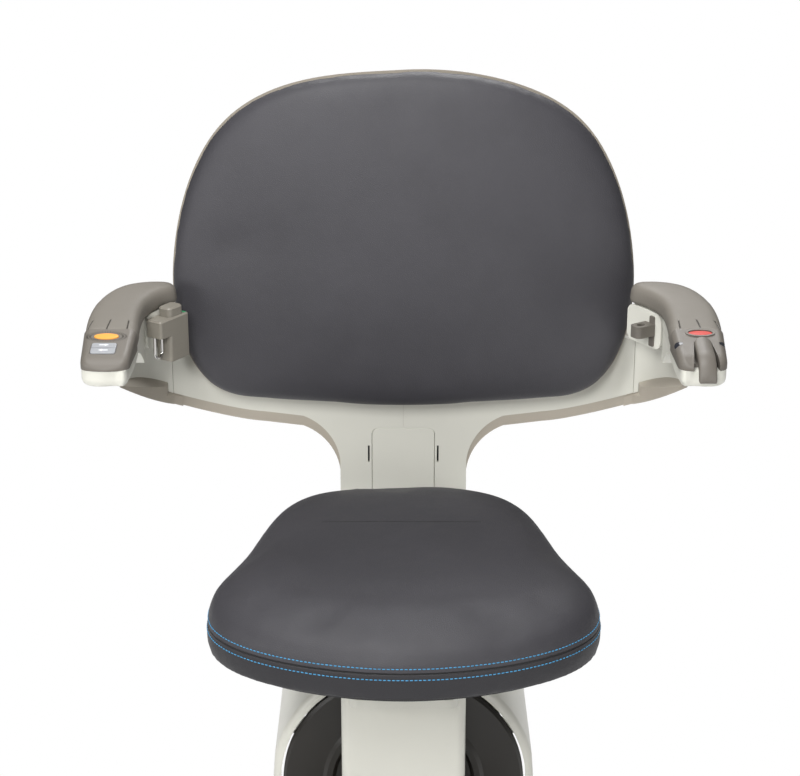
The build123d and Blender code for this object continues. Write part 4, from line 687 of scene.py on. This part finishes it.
def section(piece, height):
    """Points of a piece's outline at a height, in order, from a cut through a copy of it."""
    probe = bpy.data.objects.new("probe", piece.data.copy())
    bpy.context.scene.collection.objects.link(probe)
    edit(probe)
    bpy.ops.mesh.select_all(action="SELECT")
    bpy.ops.mesh.bisect(plane_co=(0, 0, height), plane_no=(0, 0, 1), clear_inner=True, clear_outer=True)
    bpy.ops.object.mode_set(mode="OBJECT")
    points = [v.co.copy() for v in probe.data.vertices]
    bpy.data.objects.remove(probe)
    middle = sum(p.y for p in points) / len(points)
    return sorted(points, key=lambda p: math.atan2(p.y - middle, p.x))


def along_loop(points, pitch):
    """Evenly spaced places round a closed line, each with its direction."""
    closed = points + points[:1]
    lengths = [(b - a).length for a, b in zip(closed, closed[1:])]
    count = round(sum(lengths) / pitch)
    step = sum(lengths) / count
    index, walked, places = 0, 0.0, []
    for number in range(count):
        target = number * step
        while walked + lengths[index] < target:
            walked += lengths[index]
            index += 1
        start, end = closed[index], closed[index + 1]
        places.append((start.lerp(end, (target - walked) / lengths[index]), (end - start).normalized()))
    return places


# ------------------------------------------------------------------ operators
class STAIRLIFT_OT_finishes(bpy.types.Operator):
    """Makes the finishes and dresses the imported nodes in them"""
    bl_idname = "stairlift.finishes"
    bl_label = "Finishes"

    def execute(self, context):
        colours = context.scene.chair_finish
        grain = colours.grain

        SLOT_FINISHES.update({
            "charcoal_leather": leather("backrest leather", tuple(colours.leather), grain),
            "seat_leather": leather("seat leather", tuple(colours.leather), grain, seat_seams, seat_folds),
            "thread": metal("blue thread", tuple(colours.thread), 0.6, (1, 1, 4), True),
            "ivory_plastic": moulded("ivory moulded plastic", tuple(colours.ivory), 0.36),
            "taupe_plastic": moulded("taupe moulded plastic", tuple(colours.taupe), 0.45),
            "beige_plastic": moulded("beige moulded plastic", tuple(colours.rear), 0.45),
            "handle_plastic": moulded("handle plastic", tuple(colours.handle), 0.45, 0.00004),
            "dark_disc": metal("dark disc paint", linear(34, 31, 26), 0.36, paint=True),
            "steel": metal("zinc plated steel", linear(178, 178, 180), 0.32),
            "bearing_steel": metal("ground bearing steel", linear(165, 165, 168), 0.25),
            "frame_paint": metal("black powder coat", linear(48, 48, 50), 0.5, paint=True),
            "ivory_paint": metal("ivory powder coat", tuple(colours.ivory), 0.5, paint=True),
            "rubber": moulded("black rubber", linear(40, 40, 40), 0.72, 0.00008),
            # painted shade: the pad's grooves are darkened as shade in them
            "arm_pad": moulded("soft armrest skin", tuple(colours.arm_pad), 0.58, 0.00006,
                               marks=pad_grooves, sunk_colour_and_shade=tuple(c * 0.45 for c in colours.arm_pad)),
            "pod_plastic": moulded("pod plastic", tuple(colours.pod), 0.5, 0.00005),
            "joystick_pod": moulded("joystick pod plastic", tuple(colours.pod), 0.5, 0.00005,
                                    marks=pod_windows, sunk_colour_and_shade=linear(38, 40, 46), groove=-0.0003),
            "orange_button": moulded("orange button plastic", linear(232, 156, 66), 0.45, 0.00002),
            "grey_button": moulded("grey rocker plastic", linear(150, 152, 156), 0.4, 0.00002, 0.1),
            "red_button": moulded("red button plastic", linear(186, 44, 30), 0.5, 0.00002),
            "chrome": metal("chrome plate", linear(205, 203, 200), 0.12),
            "print": moulded("dark print", linear(52, 50, 46), 0.6),
            "pale_print": moulded("pale print", linear(226, 227, 230), 0.5),
            "green_mark": moulded("green release mark", linear(36, 150, 96), 0.4, 0.00002, 0.2),
        })
        dress_frame()
        return {"FINISHED"}


class STAIRLIFT_OT_seat(bpy.types.Operator):
    """Makes the seat cushion with its two rows of stitches"""
    bl_idname = "stairlift.seat"
    bl_label = "Seat cushion"

    def execute(self, context):
        sizes = context.scene.chair_sizes
        floor = SEAT_LOW.z + HELD_DEPTH
        seat = puffed("seat_cushion", "seat_upholstery", sizes.voxel, CUSHION_PRESSURE, SEAT_CAP,
                      lambda co: co.z < floor, lambda co: co.z > SEAM_Z + SEAT_SOFT_RISE)
        hand_over(seat, "seat", "charcoal_leather", SLOT_FINISHES["seat_leather"], "seat_cushion")
        places = []
        for height in (SEAM_Z + sizes.upper_row, SEAM_Z - sizes.lower_row):
            for place, along in along_loop(section(seat, height), sizes.stitch_pitch):
                places.append(turned(place, along, Vector((along.y, -along.x, 0))))
        stitches = copies(capsule(sizes.stitch_length, sizes.thread_radius), "seat_stitches", places)
        hand_over(stitches, "seat", "charcoal_leather", SLOT_FINISHES["thread"])
        return {"FINISHED"}


class STAIRLIFT_OT_backrest(bpy.types.Operator):
    """Makes the backrest cushion"""
    bl_idname = "stairlift.backrest"
    bl_label = "Backrest cushion"

    def execute(self, context):
        sizes = context.scene.chair_sizes
        back = puffed("backrest_cushion", "backrest_upholstery", sizes.voxel, CUSHION_PRESSURE, BACK_CAP,
                      lambda co: (co - BACK_RIM).dot(BACK_OUTWARD) < HELD_DEPTH,
                      lambda co: (co - BACK_RIM).dot(BACK_OUTWARD) > BACK_EDGE + BACK_SOFT_RISE, crowned)
        hand_over(back, "chair", "charcoal_leather", SLOT_FINISHES["charcoal_leather"], "backrest_cushion")
        return {"FINISHED"}


class STAIRLIFT_OT_armrests(bpy.types.Operator):
    """Makes the two soft armrest pads"""
    bl_idname = "stairlift.armrests"
    bl_label = "Armrest pads"

    def execute(self, context):
        for side in ("right", "left"):
            node = "armrest_pad_" + side
            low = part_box(node)[0]
            pad = puffed(node, "armrest_cushion_" + side, PAD_VOXEL, PAD_PRESSURE, PAD_CAP,
                         lambda co: co.z < low.z + HELD_DEPTH or co.y < low.y + HELD_DEPTH)
            hand_over(pad, "arm_" + side, "arm_pad", SLOT_FINISHES["arm_pad"], node)
        return {"FINISHED"}


class STAIRLIFT_OT_covers(bpy.types.Operator):
    """Makes smooth copies of the covers, buttons and belt fittings, and the joystick's raised cap"""
    bl_idname = "stairlift.covers"
    bl_label = "Moulded covers"

    def execute(self, context):
        for side in ("right", "left"):
            for node in ("spine_cover_", "horn_cover_"):
                smooth_copy(node + side, "chair", "ivory_plastic")
            smooth_copy("arm_under_shell_" + side, "arm_" + side, "ivory_plastic")
        smooth_copy("control_pod_right", "arm_right", "pod_plastic", "joystick_pod")
        smooth_copy("control_pod_left", "arm_left", "pod_plastic")
        stick = merged_copy("joystick", "joystick_cover")
        apply_modifier(stick, "REMESH", mode="VOXEL", voxel_size=STICK_VOXEL, use_smooth_shade=True)
        low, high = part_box("joystick")
        middle, half = (low.x + high.x) / 2, (high.x - low.x) / 2
        raised = [(v, v.normal.dot(POD_FACE)) for v in stick.data.vertices]
        for vertex, facing in raised:
            share = (vertex.co.x - middle) / half
            lift = STICK_RISE * max(0.0, min(1.0, facing * 2)) * max(0.0, 1 - share * share)
            vertex.co += POD_FACE * lift
        apply_modifier(stick, "SMOOTH", factor=0.5, iterations=STICK_ROUNDS)
        hand_over(stick, "joystick", "pod_plastic", SLOT_FINISHES["pod_plastic"], "joystick")
        smooth_copy("belt_handle", "arm_left", "handle_plastic")
        smooth_copy("belt_hook", "arm_left", "chrome", angle=50)
        smooth_copy("call_button", "call_button", "orange_button")
        smooth_copy("stop_button", "stop_button", "red_button")
        smooth_copy("rear_shell", "chair", "beige_plastic")
        smooth_copy("backrest_shell", "chair", "taupe_plastic", angle=50)
        smooth_copy("base_shell", "base", "ivory_plastic")
        smooth_copy("front_panel", "column", "ivory_plastic")
        smooth_copy("hub_disc", "column", "dark_disc")
        return {"FINISHED"}


class STAIRLIFT_OT_markings(bpy.types.Operator):
    """Makes the raised and printed marks round the buttons"""
    bl_idname = "stairlift.markings"
    bl_label = "Button markings"

    def execute(self, context):
        call_low, call_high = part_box("call_button")
        centre = (call_low + call_high) / 2
        # a point beside the button gives the height of the pod's face
        centre.z = surface_under("control_pod_left", centre + Vector((0.015, 0, 0.05)), (0, 0, -1))[0].z
        dash = plate(oblong(TICK_HALF_LENGTH, TICK_HALF_WIDTH), TICK_HEIGHT, PRINT_BEVEL)
        places = []
        for half_width, half_length in TICK_RINGS:
            for number in range(TICK_COUNT):
                angle = 2 * math.pi * (number + 0.5) / TICK_COUNT
                across = Vector((1, 0, 0)) * math.cos(angle)
                along = POD_DOWN * math.sin(angle)
                spoke = across * half_width + along * half_length
                places.append(turned(centre + spoke, across * half_length + along * half_width, POD_FACE))
        ticks = copies(dash, "call_button_ticks", places)
        hand_over(ticks, "arm_left", "pod_plastic", SLOT_FINISHES["print"])
        low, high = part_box("direction_rocker")
        middle = (low + high) / 2
        arrow = plate(ARROW, ARROW_HEIGHT, PRINT_BEVEL)
        places = []
        for side in (-1, 1):
            start = middle - POD_DOWN * side * ARROW_OFFSET + Vector((0, 0, 0.05))
            place = surface_under("direction_rocker", start, (0, 0, -1))[0]
            places.append(turned(place, Vector((side, 0, 0)), POD_FACE))
        arrows = copies(arrow, "rocker_arrows", places)
        hand_over(arrows, "direction_rocker", "grey_button", SLOT_FINISHES["pale_print"])
        place, normal = surface_under("joystick", LAMP_FROM, (0, 1, 0))
        lamp = copies(screw_head(LAMP_RADIUS, LAMP_HEIGHT), "joystick_lamp",
                      [turned(place + normal * LAMP_LIFT, Vector((1, 0, 0)), normal)])
        hand_over(lamp, "joystick", "pod_plastic", SLOT_FINISHES["pale_print"])
        place, normal = surface_under("belt_handle", MARK_FROM, (0, 0, -1))
        mark = plate(oblong(MARK_HALF_LENGTH, MARK_HALF_WIDTH), MARK_HEIGHT, MARK_BEVEL)
        green = copies(mark, "release_mark", [turned(place, Vector(MARK_ALONG), normal)])
        hand_over(green, "arm_left", "handle_plastic", SLOT_FINISHES["green_mark"])
        return {"FINISHED"}


class STAIRLIFT_OT_fasteners(bpy.types.Operator):
    """Makes the socket screws at the back of the chair"""
    bl_idname = "stairlift.fasteners"
    bl_label = "Screws"

    def execute(self, context):
        for node, name, pairs, head in (
                ("rear_shell", "rear_shell_screws", SHELL_SCREWS, SHELL_HEAD),
                ("backrest_bracket", "backrest_bracket_bolts", BRACKET_BOLTS, BRACKET_HEAD)):
            places = []
            for x, z in pairs:
                for side in (-1, 1):
                    place, normal = surface_under(node, (side * x, 0.3, z), (0, -1, 0))
                    places.append(turned(place, Vector((1, 0, 0)), normal))
            hand_over(copies(screw_head(*head), name, places), "chair", "steel", SLOT_FINISHES["steel"])
        return {"FINISHED"}


class STAIRLIFT_OT_stage(bpy.types.Operator):
    """Sets the camera, the lamps, the floor and the white surroundings"""
    bl_idname = "stairlift.stage"
    bl_label = "Stage"

    def execute(self, context):
        scene = context.scene
        scene.view_settings.view_transform = "Standard"
        lens = bpy.data.cameras.new("photo camera")
        lens.sensor_width = CAMERA_SENSOR
        lens.lens = CAMERA_LENS
        camera = bpy.data.objects.new("photo camera", lens)
        camera.location = CAMERA_PLACE
        camera.rotation_euler = (CAMERA_TILT, 0, 0)
        scene.collection.objects.link(camera)
        scene.camera = camera
        for name, (place, aim, size, watts) in LAMPS.items():
            light = bpy.data.lights.new(name, "AREA")
            light.shape = "SQUARE"
            light.size = size
            light.energy = watts
            lamp = bpy.data.objects.new(name, light)
            lamp.location = place
            lamp.rotation_euler = (Vector(aim) - Vector(place)).to_track_quat("-Z", "Y").to_euler()
            scene.collection.objects.link(lamp)
        low = CAD_BOX[0][2]
        bpy.ops.object.select_all(action="DESELECT")
        bpy.ops.mesh.primitive_circle_add(vertices=96, radius=FLOOR_RADIUS, fill_type="NGON",
                                          location=(0, 0, low - FLOOR_GAP))
        floor = context.active_object
        floor.name = "studio_floor"
        finish = Finish("pale floor", roughness=0.9)
        finish.shader.inputs["Base Color"].default_value = FLOOR_COLOUR
        seen = finish.node("ShaderNodeLightPath", {}, {}, "Is Camera Ray")
        shiny = finish.node("ShaderNodeLightPath", {}, {}, "Is Glossy Ray")
        through = finish.node("ShaderNodeLightPath", {}, {}, "Is Transmission Ray")
        glow = finish.node("ShaderNodeEmission", {}, {"Color": (1.0, 1.0, 1.0), "Strength": 1.0})
        joined = finish.node("ShaderNodeMixShader", {}, {0: seen.larger(shiny).larger(through), 2: glow})
        output = finish.tree.nodes["Material Output"]
        finish.tree.links.new(finish.shader.outputs[0], joined.socket.node.inputs[1])
        finish.tree.links.new(joined.socket, output.inputs["Surface"])
        floor.data.materials.append(finish.material)
        world = bpy.data.worlds.new("white studio")
        world.use_nodes = True
        scene.world = world
        tree = world.node_tree
        background = tree.nodes["Background"]
        path = tree.nodes.new("ShaderNodeLightPath")
        add = tree.nodes.new("ShaderNodeMath")
        add.operation = "MAXIMUM"
        tree.links.new(path.outputs["Is Camera Ray"], add.inputs[0])
        tree.links.new(path.outputs["Is Transmission Ray"], add.inputs[1])
        level = tree.nodes.new("ShaderNodeMapRange")
        level.inputs["To Min"].default_value = WORLD_LIGHT
        level.inputs["To Max"].default_value = 1.0
        tree.links.new(add.outputs[0], level.inputs["Value"])
        background.inputs["Color"].default_value = (1, 1, 1, 1)
        tree.links.new(level.outputs[0], background.inputs["Strength"])
        return {"FINISHED"}


class STAIRLIFT_PT_panel(bpy.types.Panel):
    """Lists the chair's steps and settings"""
    bl_idname = "STAIRLIFT_PT_panel"
    bl_label = "Stairlift chair"
    bl_space_type = "VIEW_3D"
    bl_region_type = "UI"
    bl_category = "Stairlift chair"

    def draw(self, context):
        column = self.layout.column()
        for group in (context.scene.chair_finish, context.scene.chair_sizes):
            for name in group.__annotations__:
                column.prop(group, name)
        for step in STEPS:
            column.operator(step.bl_idname)


STEPS = (STAIRLIFT_OT_finishes, STAIRLIFT_OT_seat, STAIRLIFT_OT_backrest, STAIRLIFT_OT_armrests,
         STAIRLIFT_OT_covers, STAIRLIFT_OT_markings, STAIRLIFT_OT_fasteners, STAIRLIFT_OT_stage)
CLASSES = (ChairFinishSettings, ChairSizeSettings, STAIRLIFT_PT_panel, *STEPS)


def register():
    for cls in CLASSES:
        bpy.utils.register_class(cls)
    bpy.types.Scene.chair_finish = bpy.props.PointerProperty(type=ChairFinishSettings)
    bpy.types.Scene.chair_sizes = bpy.props.PointerProperty(type=ChairSizeSettings)


def unregister():
    del bpy.types.Scene.chair_sizes
    del bpy.types.Scene.chair_finish
    for cls in reversed(CLASSES):
        bpy.utils.unregister_class(cls)


def main():
    register()
    for step in STEPS:
        group, name = step.bl_idname.split(".")
        getattr(getattr(bpy.ops, group), name)()


if __name__ == "__main__":
    main()
